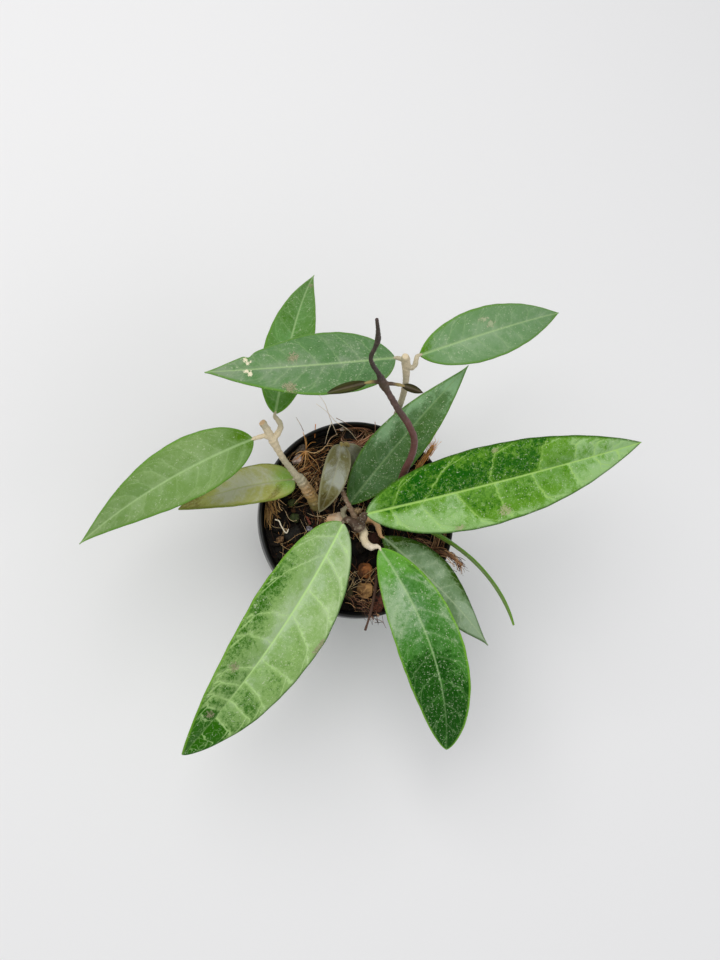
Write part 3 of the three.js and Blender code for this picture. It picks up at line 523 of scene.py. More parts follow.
class Look:
    """A material with one Principled shader and helpers that add nodes to it."""

    def __init__(self, name, roughness, specular=0.35, specular_tint=(1.0, 1.0, 1.0, 1.0)):
        self.material = bpy.data.materials.new(name)
        self.material.use_nodes = True
        self.tree = self.material.node_tree
        self.shader = self.tree.nodes["Principled BSDF"]
        self.feed(self.shader, {"Roughness": roughness, "Specular IOR Level": specular,
                                "Specular Tint": specular_tint})

    def feed(self, node, inputs):
        """Sets inputs to numbers or hex colours, or links them to fields and outputs."""
        for key, value in inputs.items():
            source = linear(value) if isinstance(value, str) else getattr(value, "socket", value)
            if isinstance(source, bpy.types.NodeSocket):
                self.tree.links.new(source, node.inputs[key])
            else:
                node.inputs[key].default_value = source

    def add(self, kind, inputs, **settings):
        node = self.tree.nodes.new("ShaderNode" + kind)
        for key, value in settings.items():
            setattr(node, key, value)
        self.feed(node, inputs)
        return node

    def value(self, name):
        """The number that the mesh keeps under that name."""
        return Field(self, self.add("Attribute", {}, attribute_name=name).outputs["Fac"])

    def tint(self):
        """The colour that the mesh keeps for each vertex."""
        return self.add("Attribute", {}, attribute_name="tint").outputs["Color"]

    def place(self, scale=(1, 1, 1)):
        """The point on the object, in metres times scale."""
        point = self.add("TexCoord", {}).outputs["Object"]
        return self.add("Mapping", {"Vector": point, "Scale": scale}).outputs["Vector"]

    def noise(self, vector, scale, detail=3.0, roughness=0.55):
        node = self.add("TexNoise", {"Vector": vector, "Scale": scale, "Detail": detail,
                                     "Roughness": roughness})
        return Field(self, node.outputs["Fac"])

    def coats(self, colour, *coats):
        """Lays coats of (colour, strength) over a colour, one after the other."""
        for coat, strength in coats:
            # Inputs 6 and 7 and output 2 of the node are its colours.
            node = self.add("Mix", {0: strength, 6: colour, 7: coat}, data_type="RGBA")
            colour = node.outputs[2]
        return colour

    def ramp(self, field, *stops):
        """A colour that passes smoothly through stops of (position, colour)."""
        node = self.add("ValToRGB", {"Fac": field})
        elements = node.color_ramp.elements
        node.color_ramp.interpolation = "EASE"
        while len(elements) < len(stops):
            elements.new(0.5)
        for element, (position, colour) in zip(elements, stops):
            element.position = position
            element.color = linear(colour)
        return node.outputs["Color"]

    def finish(self, colour, height, depth_mm, strength, roughness=None):
        """Gives the shader its colour, bump and roughness; returns the material."""
        bump = self.add("Bump", {"Height": height, "Distance": depth_mm * MM,
                                 "Strength": strength})
        self.feed(self.shader, {"Base Color": colour, "Normal": bump.outputs["Normal"]})
        if roughness:
            self.feed(self.shader, {"Roughness": roughness})
        return self.material


# ---------- leaf blades ----------
BLADE_STEPS = 150
HALF_COLUMNS = 22
BLADE_ENDS = (0.9, 0.18)  # half widths at the base and the tip
BUD_ENDS = (0.45, 0.1)
NEAR_MARGIN = 0.8
PANE_BLEND = 0.07
FORK_REACH = 4.0  # mm in front of the margin
SEED_RANGE = 97


def rib_frame(leaf, share):
    """Middle, tangent, right and outward vectors of the midrib at each share."""
    base = np.array(leaf["base"], float)
    tip = np.array(leaf["tip"], float)
    along = unit(tip - base)
    side = unit(np.cross(along, (0, 0, 1)))
    up = np.cross(side, along)
    bend = (base + tip) / 2 + 2 * leaf["rise"] * up + 2 * leaf["sway"] * side
    s = np.asarray(share, float)[:, None]
    middle = (1 - s) ** 2 * base + 2 * s * (1 - s) * bend + s ** 2 * tip
    tangent = unit(2 * (1 - s) * (bend - base) + 2 * s * (tip - bend))
    level = unit(side - tangent * (tangent @ side)[:, None])
    normal = np.cross(level, tangent)
    turn = np.radians(leaf["roll"] + leaf["twist"] * (s - 0.5))
    right = level * np.cos(turn) + normal * np.sin(turn)
    outward = normal * np.cos(turn) - level * np.sin(turn)
    return middle, tangent, right, outward


def blade_half(leaf, share, across):
    """Half width of the blade in mm, on the side that `across` gives."""
    widest = leaf["widest"] - leaf.get("skew", 0) * np.sign(across)
    fullness = leaf["fullness"]
    tip_power = fullness * (1 - widest) / widest
    swell = (share / widest) ** fullness * ((1 - share) / (1 - widest)) ** tip_power
    base_end, tip_end = BUD_ENDS if "thickness" in leaf else BLADE_ENDS
    half = np.hypot(leaf["width"] / 2 * swell, base_end * (1 - share) + tip_end * share)
    if "bite" in leaf:
        at, bite_side, depth, reach = leaf["bite"]
        notch = 1 - depth * np.exp(-((share - at) / reach) ** 2)
        half = np.where(np.sign(across) == bite_side, half * notch, half)
    return half


def side_veins(leaf, side, length, rng):
    """Shares where the veins of one half start and end, and the tone of each pane."""
    half = 0 if side < 0 else 1
    if isinstance(leaf["veins"], tuple):
        return np.array(leaf["veins"][half]), np.array(leaf["tones"][half])
    tones = leaf["tones"][half] if isinstance(leaf["tones"], tuple) else leaf["tones"]
    veins = []
    at = (0.5, 0.9)[half] * leaf["veins"]
    while at < length * 0.94:
        lean = leaf["width"] * rng.uniform(0.22, 0.34)
        veins.append((at / length, (at + lean) / length))
        at += leaf["veins"] * rng.uniform(0.75, 1.25)
    return np.array(veins), tones + np.array([rng.uniform(-0.12, 0.12)
                                              for _ in range(len(veins) + 1)])


def vein_fields(leaf, share, across, length, rng):
    """For each point: its place between side veins, that pane's width, the pane's tone."""
    phase, pitch, tone = (np.zeros(share.shape) for _ in range(3))
    halves = {side: side_veins(leaf, side, length, rng) for side in (-1, 1)}
    for k in range(share.shape[1]):
        veins, tones = halves[-1 if across[0, k] < 0 else 1]
        away = abs(across[0, k])
        lean = (min(away, 1.0) / NEAR_MARGIN) ** 1.3
        hook = 0.05 * max(0.0, away - 0.72) / 0.28
        knots = veins[:, 0] + (veins[:, 1] - veins[:, 0]) * lean + hook
        knots = np.concatenate([[knots[0] - 0.12], knots, [max(1.1, knots[-1] + 0.1)]])
        place = np.interp(share[:, k], knots, np.arange(len(knots)))
        index = np.minimum(place.astype(int), len(knots) - 2)
        phase[:, k] = place
        pitch[:, k] = (knots[index + 1] - knots[index]) * length
        part = place - index
        low, mine, high = (tones[np.clip(index + step, 0, len(tones) - 1)]
                           for step in (-1, 0, 1))
        into = np.clip(part / PANE_BLEND, 0, 1) * 0.5 + 0.5
        out = np.clip((part - 1) / PANE_BLEND + 1, 0, 1) * 0.5
        tone[:, k] = mine + (low - mine) * (1 - into) + (high - mine) * out
    return phase, pitch, tone


def blade_grid():
    """Shares along the midrib; round a section, places across and sides: 1 is the top, -1
    the underside and 0 a margin."""
    x = np.linspace(0, 1, HALF_COLUMNS + 1)
    spread = 0.45 * x + 0.55 * (3 * x ** 2 - 2 * x ** 3)
    top = np.concatenate([-spread[::-1], spread[1:]])
    across = np.concatenate([top, top[-2:0:-1]])
    face = np.concatenate([np.ones(len(top)), -np.ones(len(top) - 2)])
    face[[0, len(top) - 1]] = 0
    even = np.linspace(0, 1, BLADE_STEPS + 1)
    share = 0.6 * even + 0.4 * (1 - np.cos(np.pi * even)) / 2
    return share, across, face


def make_blade(name, leaf):
    """One leaf: a thin closed blade with grooved midrib and quilted panes."""
    seed = name_seed(name) % SEED_RANGE
    share, around, face = blade_grid()
    middle, _, right, outward = rib_frame(leaf, share)
    run = run_along(middle)
    length = run[-1]
    # Grids of one row for each step along the blade and one column for each place round it.
    S, V = np.meshgrid(share, around, indexing="ij")
    F = np.broadcast_to(face, S.shape)
    half = blade_half(leaf, S, V) * (1 + 0.005 * np.sin(33 * S + seed)
                                     + 0.004 * np.sin(71 * S + 2.0 * np.sign(V) + seed))
    along = np.broadcast_to(run[:, None], S.shape)
    across = V * half
    away = np.abs(V)
    phase, pitch, tone = vein_fields(leaf, S, V, length, random.Random(seed))

    soft = np.hypot(V, 0.03) - 0.03
    lift = soft * half * math.tan(math.radians(leaf["fold"])) - BLADE_CURL * V ** 2 * half
    wave = 0.02 * half * V ** 2 * np.sin(2 * np.pi * (2.4 * S + 0.1 * seed) + 1.5 * V)
    pane = np.abs(np.sin(np.pi * phase)) ** 0.75 * np.minimum(pitch / 10, 1.5)
    belly = (1 - np.exp(-(across / 2.2) ** 2)) * (1 - away ** 5)
    bulge = LOOKS[leaf["look"]]["swell"] * pane * belly * np.minimum(1, half / 7)
    groove = -0.3 * np.exp(-(across / 0.5) ** 2) * (1 - 0.7 * S)
    ridge = -0.55 * np.exp(-(across / 0.8) ** 2) * (1 - 0.85 * S)
    thickness = leaf.get("thickness", BLADE_THICKNESS)
    skin = thickness / 2 * np.sqrt(np.clip(1 - away ** 8, 0, 1)) * (1 - 0.25 * S)
    relief = np.select([F > 0, F < 0], [groove, ridge]) * (thickness / BLADE_THICKNESS)
    height = lift + wave + F * skin + relief + bulge * (F != 0)
    points = (middle[:, None] + right[:, None] * across[..., None]
              + outward[:, None] * height[..., None]).reshape(-1, 3)
    ring = len(around)
    faces = [(i * ring + (k + 1) % ring, (i + 1) * ring + (k + 1) % ring, (i + 1) * ring + k,
              i * ring + k) for i in range(BLADE_STEPS) for k in range(ring)]
    faces.append(tuple(reversed(range(ring))))
    faces.append(tuple(range(BLADE_STEPS * ring, (BLADE_STEPS + 1) * ring)))
    mesh = make_object(name + "_blade", points, faces, leaf_look(name, leaf),
                       LOOKS[leaf["look"]]["slot"], name).data

    def distance(at, aside, reach, width):
        """How far each point is from a spot, along and across, in reaches of the spot."""
        return (along - at * length) / reach, (across - aside * half) / width

    for *spot, change in leaf.get("patches", ()):
        x, y = distance(*spot)
        tone = tone + change * np.exp(-(x ** 2 + y ** 2))
    kept = dict(along_mm=along, across_mm=across, edge_mm=(1 - away) * half, length_share=S,
                vein_phase=phase, vein_pitch=pitch, tone=tone, underside=F < 0)
    for kind in ("scar", "tear", "dust", "lime"):
        kept[kind] = np.zeros(S.shape)
        for spot in leaf.get("marks", {}).get(kind, ()):
            kept[kind] = np.maximum(kept[kind], 1 - np.hypot(*distance(*spot)) / 2)
    for key, values in kept.items():
        store(mesh, key, values)
    unwrap(mesh, ring)


def unwrap(mesh, ring):
    """Lays the blade out flat: once round its section across, its length up."""
    layer = mesh.uv_layers.new(name="OFBake")
    loops = np.empty(len(mesh.loops), np.int64)
    mesh.loops.foreach_get("vertex_index", loops)
    row, column = np.divmod(loops, ring)
    totals = np.empty(len(mesh.polygons), np.int64)
    mesh.polygons.foreach_get("loop_total", totals)
    owner = np.repeat(np.arange(len(totals)), totals)
    lowest = np.full(len(totals), ring)
    highest = np.zeros(len(totals), np.int64)
    np.minimum.at(lowest, owner, column)
    np.maximum.at(highest, owner, column)
    wraps = (highest - lowest)[owner] > ring / 2
    u = np.where(wraps & (column < ring / 2) & (totals[owner] == 4), column + ring, column)
    uv = np.stack([0.01 + 0.98 * u / ring, 0.01 + 0.98 * row / BLADE_STEPS], -1)
    layer.data.foreach_set("uv", uv.astype(np.float32).ravel())


def leaf_look(name, leaf):
    tone = LOOKS[leaf["look"]]
    deep, light, pale = leaf["palette"].split()
    vein = tone["vein"]
    look = Look(name, tone["rough"], 0.3, (0.55, 0.9, 0.15, 1.0))
    seed = float(name_seed(name) % SEED_RANGE)
    along, across = look.value("along_mm"), look.value("across_mm")

    def noise_at(layer, scale, detail=2.0, roughness=0.6):
        flat = look.add("CombineXYZ", {0: along, 1: across, 2: seed + layer})
        return look.noise(flat.outputs["Vector"], scale, detail, roughness)

    cloud = noise_at(0, 0.2, 3.0) - 0.5
    mottle = noise_at(0, 0.62, 3.0, 0.65) - 0.5
    grain = noise_at(5, 2.6, 2.0, 0.65) - 0.5
    edge = look.value("edge_mm")
    inside = edge.fade(0.3, 1.8)

    # Side veins: each one forks in front of the margin.
    phase = look.value("vein_phase") + cloud * 0.2 + mottle * 0.14
    gap = ((phase.op("FRACT") - 0.5).absolute().flip() - 0.5) * look.value("vein_pitch")
    fork = (cloud * 5.0 + FORK_REACH - edge).at_least(0.0) * 0.85
    branch = (gap - fork).absolute()
    broken = noise_at(2, 0.3).fade(0.3, 0.6) * 0.7 + 0.3
    thin_vein = branch.fade(0.6, 0.12) * broken * inside
    wide_vein = branch.fade(2.0, 0.2) * inside
    small_vein = ((noise_at(9, 0.42, 1.0) - 0.5).absolute().fade(0.035, 0.005)
                  * noise_at(11, 0.25).fade(0.4, 0.6) * inside)
    veins = thin_vein.at_least(small_vein * 0.45)

    # The midrib narrows, and on some leaves fades, towards the tip.
    distance = across.absolute()
    share = look.value("length_share")
    taper = share * 0.3
    faint = (share.fade(0.55, 0.9) * leaf.get("rib_loss", 0.0)).flip()
    rib = (distance + taper).fade(0.75, 0.2) * faint
    rib_glow = (distance + taper * 3.0).fade(2.8, 0.3) * faint

    pane = look.value("tone")
    # Painted sheen: a greyish reflection painted into the colour by the midrib of the paler panes.
    painted_sheen = (distance.fade(10.0, 1.5) * (cloud * 2.5 + mottle + 0.4) * pane.fade(0.15, 0.6)
             * tone["painted_sheen"])
    uneven = (mottle + grain * 0.6) * tone["mottle"] * (pane * -0.9 + 1.2)
    shade = pane + cloud * 0.5 + uneven + grain * 0.1
    shade = shade + wide_vein * tone["veins"] * 0.3 + rib_glow * 0.15 + painted_sheen * 0.2

    # Pale flecks of old dust and lime, in loose clumps.
    dusty = look.value("dust").at_least(noise_at(3, 0.4).fade(0.44, 0.64))
    specks = noise_at(1, 1.4, 1.0, 0.5).fade(0.65, 0.7)
    flakes = noise_at(7, 0.95, 2.0, 0.75).fade(0.645, 0.7)
    curl = (noise_at(8, 0.7, 1.0) - 0.5).absolute().fade(0.022, 0.004)
    flecks = specks.at_least(flakes).at_least(curl * mottle.fade(0.02, 0.1) * 0.6)
    flecks = flecks * dusty * tone["flecks"]

    # Scars and tears with ragged outlines.
    ragged = mottle * 1.3 + grain * 1.6
    scarred, torn = look.value("scar"), look.value("tear")
    scar = (scarred + ragged * scarred.fade(0.1, 0.5)).fade(0.5, 0.72)
    tear = (torn + ragged * torn.fade(0.2, 0.6)).fade(0.45, 0.6)
    scar_colour = look.coats(leaf.get("scar_tint", SCAR_TINT),
                             (SCAR_PALE, (grain + 0.5).fade(0.42, 0.75)))

    rim = look.coats(tone["margin"], (tone.get("margin_far", tone["margin"]),
                                      across.fade(-0.5, 0.5)))
    below = look.coats(tone["under"], (vein, rib.at_least(thin_vein * 0.5)))
    colour = look.coats(
        look.ramp(shade, (0.06, deep), (0.46, light), (0.92, pale)),
        (PAINTED_SHEEN_TINT, painted_sheen.at_least(0.0)), (vein, veins * tone["veins"]),
        (rim, edge.fade(1.2, 0.25) * 0.8),
        (LIME_TINT, look.value("lime").fade(0.1, 0.9) * 0.6),
        (vein, rib * (0.45 + 0.7 * tone["veins"])), (FLECK_TINT, flecks * 0.75),
        (scar_colour, scar * 0.8), (TORN_TINT, tear),
        (below, look.value("underside").fade(0.4, 0.6)))
    gloss = cloud * 0.15 + flecks * 0.3 + scar * 0.3 + tear * 0.3 + tone["rough"]
    height = grain * 0.7 + mottle * 0.9 - veins * 0.6 - scar * 0.8 + flecks * 0.25
    return look.finish(colour, height, 0.22, 0.6, gloss.at_most(0.9))


# ---------- stems ----------
STEM_SIDES = 14
STEM_VOXEL = 0.24


def petiole(points):
    """Ends a path inside the base of the leaf that its last entry names."""
    if not isinstance(points[-1], str):
        return points
    leaf = LEAVES[points[-1]]
    middle, tangent, _, _ = rib_frame(leaf, [0.0])
    radius = leaf.get("thickness", BLADE_THICKNESS) * 0.6
    tint = "olive" if "thickness" in leaf else points[-2][4]
    before = middle[0] - 1.3 * tangent[0]
    inside = middle[0] + 0.7 * tangent[0]
    return [*points[:-1], (*before, radius * 1.2, tint), (*inside, radius * 0.8, tint)]


def stem_path(points):
    """Rows of place, radius and linear colour along a smooth curve."""
    data = np.array([[*p[:4], *linear(STEM_COLOURS[p[4]])[:3]] for p in petiole(points)])
    path = spline(data, 8)
    path[:, 3:] = np.clip(path[:, 3:], data[:, 3:].min(0), data[:, 3:].max(0))
    return path


def make_stem(name, stem):
    """A stem and its petioles, fused to one skin and roughened like bark."""
    paths = [stem_path(points) for points in stem["paths"]]
    points, faces = merge([tube(p[:, :3], p[:, 3], STEM_SIDES) for p in paths])
    obj = make_object(name + "_bark", points, faces, stem_look(name, stem["slot"]),
                      stem["slot"], name)
    remesh = obj.modifiers.new("fuse", "REMESH")
    remesh.mode = "VOXEL"
    remesh.voxel_size = STEM_VOXEL * MM
    relax = obj.modifiers.new("relax", "SMOOTH")
    relax.factor = 0.5
    relax.iterations = 4
    apply_modifiers(obj)
    mesh = obj.data
    samples = np.vstack(paths)
    run = np.concatenate([run_along(p[:, :3]) for p in paths])
    tree = kdtree.KDTree(len(samples))
    for i, sample in enumerate(samples):
        tree.insert(sample[:3], i)
    tree.balance()
    woody = stem["slot"] == "old_stem"
    colours, moved = [], []
    for vertex in mesh.vertices:
        place = Vector(vertex.co) / MM
        nearest = tree.find(place)[1]
        radius = samples[nearest][3]
        grain = noise.noise(place * 0.9) * 0.12 + noise.noise(place * 2.6) * 0.06
        rings = math.sin(run[nearest] * 2.6 + 1.5 * noise.noise(place * 0.4))
        rise = grain + (0.07 if woody else 0.02) * rings
        if woody and radius > 1.7:
            rise *= 2.0
        moved.append(vertex.co + vertex.normal * rise * MM * min(1.0, radius))
        colours.append((*samples[nearest][4:7], 1.0))
    for vertex, place in zip(mesh.vertices, moved):
        vertex.co = place
    store_colour(mesh, "tint", colours)
    if "flaky_below" in stem:
        store(mesh, "flaky", [min(1.0, max(0.0, (stem["flaky_below"] - v.co.z / MM) / 8))
                              for v in mesh.vertices])
    mesh.polygons.foreach_set("use_smooth", [True] * len(mesh.polygons))
    mesh.update()


# Old and young bark: the least roughness, the colours of specks, blotches and cork, and
# how strong the blotches and the cork are.
BARKS = {
    "old_stem": (0.5, "4e3d2a", "d6c8ac", "ece6d6", 0.4, 0.5),
    "young_shoot": (0.3, "2a1c18", "8a716a", "9c8680", 0.25, 0.15),
}
FLAKE_TINT = "7a5630"


def stem_look(name, slot):
    rough, speck, patch, corky, patched, corked = BARKS[slot]
    look = Look(name, rough)
    place = look.place()
    speckle = look.noise(place, 2600.0, 3.0, 0.7)
    blotch = look.noise(place, 420.0, 3.0, 0.6)
    cork = look.noise(place, 1300.0, 2.0, 0.6)
    flake = look.noise(place, 700.0, 3.0, 0.7).fade(0.54, 0.6) * look.value("flaky")
    colour = look.coats(
        look.tint(), (speck, speckle.fade(0.54, 0.7) * 0.6),
        (patch, blotch.fade(0.5, 0.72) * patched), (FLAKE_TINT, flake * 0.55),
        (corky, cork.fade(0.62, 0.7) * corked))
    return look.finish(colour, speckle * 0.7 + blotch + cork * 0.5, 0.16, 0.8,
                       blotch * 0.25 + rough)


# ---------- pot ----------
POT_SIDES = 160
LIP_STEP = 1.6  # how far the lip stands out from the wall


def wall_radius(z):
    return BASE_RADIUS + (RIM_RADIUS - LIP_STEP - BASE_RADIUS) * z / (POT_HEIGHT - LIP_HEIGHT)


def bore_radius(z):
    return wall_radius(z) - WALL


def make_pot():
    """The shell, turned from its profile, with the drain holes drilled."""
    lip = POT_HEIGHT - LIP_HEIGHT
    inner_top = RIM_RADIUS - 1.4
    profile = [(0, 0.0), (BASE_RADIUS - 1.6, 0.0), (BASE_RADIUS - 0.6, 0.2),
               (BASE_RADIUS, 0.9)]
    profile += [(wall_radius(z) + 0.05 * math.sin(1.1 * z), z)
                for z in np.linspace(4, lip - 2, 16)]
    profile += [(wall_radius(lip) + 0.05, lip - 0.7), (wall_radius(lip) + 0.5, lip - 0.2),
                (RIM_RADIUS - 0.35, lip), (RIM_RADIUS - 0.05, lip + 0.3),
                (RIM_RADIUS, lip + 1), (RIM_RADIUS, POT_HEIGHT - 1.1),
                (RIM_RADIUS - 0.1, POT_HEIGHT - 0.5), (RIM_RADIUS - 0.35, POT_HEIGHT - 0.12),
                (RIM_RADIUS - 0.7, POT_HEIGHT), (RIM_RADIUS - 1.05, POT_HEIGHT - 0.15),
                (inner_top + 0.05, POT_HEIGHT - 0.6), (inner_top - 0.1, lip + 1.2),
                (inner_top - 0.9, lip + 0.4), (bore_radius(lip), lip - 0.4)]
    profile += [(bore_radius(z), z) for z in np.linspace(lip - 4, 4, 12)]
    profile += [(bore_radius(WALL) - 0.3, WALL + 0.35), (0, WALL)]
    pot = make_object("pot_shell", *revolve(profile, POT_SIDES), pot_look(), "pot_plastic",
                      "pot")
    drill_shape = bmesh.new()
    for i in range(DRAIN_HOLES):
        place = polar(DRAIN_CIRCLE * MM, 2 * math.pi * (i + 0.5) / DRAIN_HOLES)
        bmesh.ops.create_cone(drill_shape, cap_ends=True, segments=40, depth=6 * MM,
                              radius1=DRAIN_RADIUS * MM, radius2=DRAIN_RADIUS * MM,
                              matrix=Matrix.Translation((*place, 0)))
    drill = link("drill", bpy.data.meshes.new("drill"))
    drill_shape.to_mesh(drill.data)
    drill_shape.free()
    cut = pot.modifiers.new("drain", "BOOLEAN")
    cut.object = drill
    cut.solver = "EXACT"
    apply_modifiers(pot)
    bpy.data.objects.remove(drill)
    pot.data.set_sharp_from_angle(angle=math.radians(40))


def pot_look():
    look = Look("pot_plastic", 0.34, 0.5)
    place = look.place()
    scuff = look.noise(look.place((1, 1, 0.12)), 900.0, 4.0, 0.65)
    dust = look.noise(place, 130.0, 4.0, 0.6)
    grain = look.noise(place, 5200.0, 2.0)
    colour = look.coats("101112", ("1c1d1e", dust.fade(0.4, 0.7)),
                        ("4a4a48", scuff.fade(0.66, 0.78) * 0.25))
    return look.finish(colour, grain * 0.4 + scuff, 0.04, 0.5,
                       dust * 0.22 + scuff * 0.12 + 0.16)


# ---------- potting mix ----------
SOIL_RINGS = 46
SOIL_SIDES = 140
SOIL_TINT = "150d08"
CHIPS = 420
CHIP_TILT = 0.8
CHIP_TINTS = ["0a0705", "0e0906", "150d08", "0e0906", "1c120b", "0a0705", "2c1b11",
              "150d08", "0e0906", "5a3a22", "1c120b", "6a4a2e"]
COIR_RING = (-3.0, 34.6, 68.0)

# Single bits in the top of the mix: place, half sizes, turn in degrees, colour.
LUMPS = [
    ((-25.8, 6.2, 67.2), (1.9, 1.1, 0.9), 25, "4c5826"),
    ((-25.3, 0.1, 67.0), (1.6, 1.4, 0.9), -10, "3c4a20"),
    ((-25.5, -6.6, 66.8), (3.2, 2.4, 1.5), 30, "0b0908"),
    ((-19.1, -4.3, 67.6), (1.0, 0.8, 0.6), 0, "98929e"),
    ((-5.3, 3.1, 67.6), (0.9, 1.3, 1.0), 15, "ecdcc4"),
    ((0.2, 3.4, 69.2), (1.5, 1.0, 0.9), 10, "c8a880"),
    ((7.4, -8.0, 67.0), (1.9, 2.3, 1.2), 20, "4c241a"),
    ((-19.4, -1.0, 67.4), (0.4, 1.5, 0.4), 30, "844434"),
    ((-22.4, 28.0, 68.0), (2.0, 1.6, 1.4), 40, "7a6c60"),
    ((9.3, -34.0, 67.4), (2.3, 2.6, 1.2), -25, "7a4634"),
    ((-4.1, -25.9, 67.4), (1.2, 1.7, 0.8), 15, "57562c"),
    ((-2.5, -30.6, 67.6), (1.1, 1.8, 0.8), -15, "4c4222"),
    ((-6.2, 37.0, 69.5), (0.8, 0.6, 0.5), 20, "f2e0d4"),
    # A near-black flat disc in the middle of the coir ring: painted shade of the hole there.
    ((-3.0, 34.9, 67.6), (2.4, 2.1, 0.5), 0, "050302"),
    ((-12.0, -8.5, 66.6), (1.6, 1.2, 0.8), 60, "6e4a30"),
    ((-31.0, -9.0, 67.4), (1.4, 1.0, 0.8), 10, "8a6848"),
    ((24.0, 12.0, 67.0), (2.2, 1.4, 0.8), 70, "8a5a34"),
]


def soil_height(x, y):
    share = math.hypot(x, y) / RIM_RADIUS
    return (SOIL_LEVEL + SOIL_DISH * share * share
            + SOIL_BUMP * math.sin(0.55 * x + 0.3) * math.cos(0.48 * y - 0.8)
            + 0.5 * SOIL_BUMP * math.sin(0.9 * x - 1.1 * y))


def grit_look(name, dark, light, scale=900.0, roughness=0.85):
    """A rough crumbly surface; the colour attribute tints it piece by piece."""
    look = Look(name, roughness, 0.3)
    coarse = look.noise(look.place(), scale, 4.0, 0.65)
    streak = look.noise(look.place((1, 1, 0.35)), scale * 2.6, 3.0, 0.6)
    colour = look.coats(look.tint(), (dark, coarse.fade(0.42, 0.66) * 0.85),
                        (light, streak.fade(0.6, 0.76) * 0.4))
    return look.finish(colour, coarse * 1.2 + streak * 0.5, 0.4, 1.0)


def make_soil():
    """The body of the mix: its crumbly top, its side and its underside."""
    sides = SOIL_SIDES
    top_radius = bore_radius(SOIL_EDGE) - CLEARANCE
    low_z = WALL + 0.4 + CLEARANCE
    low_radius = bore_radius(low_z) - 1.2 * CLEARANCE
    points = [(0, 0, soil_height(0, 0))]
    for ring in range(1, SOIL_RINGS + 1):
        for x, y, _ in circle(top_radius * ring / SOIL_RINGS, 0, sides):
            lump = noise.fractal(Vector((x, y, 3.0)) * 0.42, 0.8, 2.1, 4)
            z = soil_height(x, y) - 1.2 + 1.3 * lump
            points.append((x, y, min(z, SOIL_EDGE - 0.2) if ring == SOIL_RINGS else z))
    points += circle(0.5 * (top_radius + low_radius), 0.5 * (SOIL_EDGE + low_z), sides)
    points += circle(low_radius, low_z, sides)
    points.append((0, 0, low_z))
    faces = [(0, 1 + k, 1 + (k + 1) % sides) for k in range(sides)]
    for start in range(1, 1 + (SOIL_RINGS + 1) * sides, sides):
        for k in range(sides):
            a, b = start + k, start + (k + 1) % sides
            faces.append((a, a + sides, b + sides, b))
    centre = len(points) - 1
    last = centre - sides
    faces.extend((centre, last + (k + 1) % sides, last + k) for k in range(sides))
    make_heap("mix_body", [(points, faces, linear(SOIL_TINT))],
              grit_look("soil", "040302", "4a3424"))


def kept_clear():
    """Balls, as (x, y, z, radius), that chips stay out of."""
    spots = [(*COIR_RING, 3.4)]
    spots += [(*entry[:3], entry[3] + 1.4) for stem in STEMS.values()
              for path in stem["paths"] for entry in path
              if not isinstance(entry, str) and entry[2] < 80]
    spots += [(*stone["at"], max(stone["half"]) + 0.6) for stone in STONES.values()]
    spots += [(*at, max(half) + 0.3) for at, half, _, _ in LUMPS]
    return spots


def lump_mesh(rng, half, cuts, rough):
    """A small broken lump: a cube with moved corners, cut finer and roughened."""
    shape = bmesh.new()
    bmesh.ops.create_cube(shape, size=2.0)
    for vertex in shape.verts:
        vertex.co = Vector([c * rng.uniform(0.62, 1.05) for c in vertex.co])
    bmesh.ops.subdivide_edges(shape, edges=shape.edges[:], cuts=cuts, use_grid_fill=True,
                              smooth=0.35)
    offset = Vector([rng.uniform(-50, 50) for _ in range(3)])
    for vertex in shape.verts:
        push = 1 + rough * noise.noise(vertex.co * 1.7 + offset)
        vertex.co = Vector([c * h * push for c, h in zip(vertex.co, half)])
    return points_and_faces(shape)


def make_chips():
    """Broken bark over the whole top of the mix."""
    rng = random.Random(SEED)
    clear = kept_clear()
    edge = bore_radius(SOIL_EDGE) - 0.6
    parts = []
    while len(parts) < CHIPS:
        half = (rng.uniform(0.7, 2.7), rng.uniform(0.5, 1.5), rng.uniform(0.3, 0.9))
        r = (edge - max(half)) * math.sqrt(rng.random())
        x, y = polar(r, rng.uniform(0, 2 * math.pi))
        at = (x, y, soil_height(x, y) + rng.uniform(-1.0, 0.5))
        if any(math.dist(at, spot[:3]) < spot[3] + 0.5 * max(half) for spot in clear):
            continue
        points, faces = lump_mesh(rng, half, 2, 0.22)
        turn = (Matrix.Rotation(rng.uniform(0, 2 * math.pi), 3, "Z")
                @ Matrix.Rotation(rng.uniform(-CHIP_TILT, CHIP_TILT), 3, "X")
                @ Matrix.Rotation(rng.uniform(-CHIP_TILT, CHIP_TILT), 3, "Y"))
        parts.append((points @ np.array(turn).T + np.array(at), faces,
                      linear(rng.choice(CHIP_TINTS))))
    make_heap("bark_chips", parts, grit_look("chips", "060403", "6b4d35", 1500.0),
              smooth=False)


def make_lumps():
    rng = random.Random(SEED + 3)
    parts = []
    for at, half, angle, tint in LUMPS:
        points, faces = lump_mesh(rng, half, 5, 0.35)
        turn = np.array(Matrix.Rotation(math.radians(angle), 3, "Z"))
        parts.append((points @ turn.T + np.array(at), faces, linear(tint)))
    make_heap("loose_bits", parts, grit_look("bits", "1a120c", "a8947c", 1300.0, 0.6))


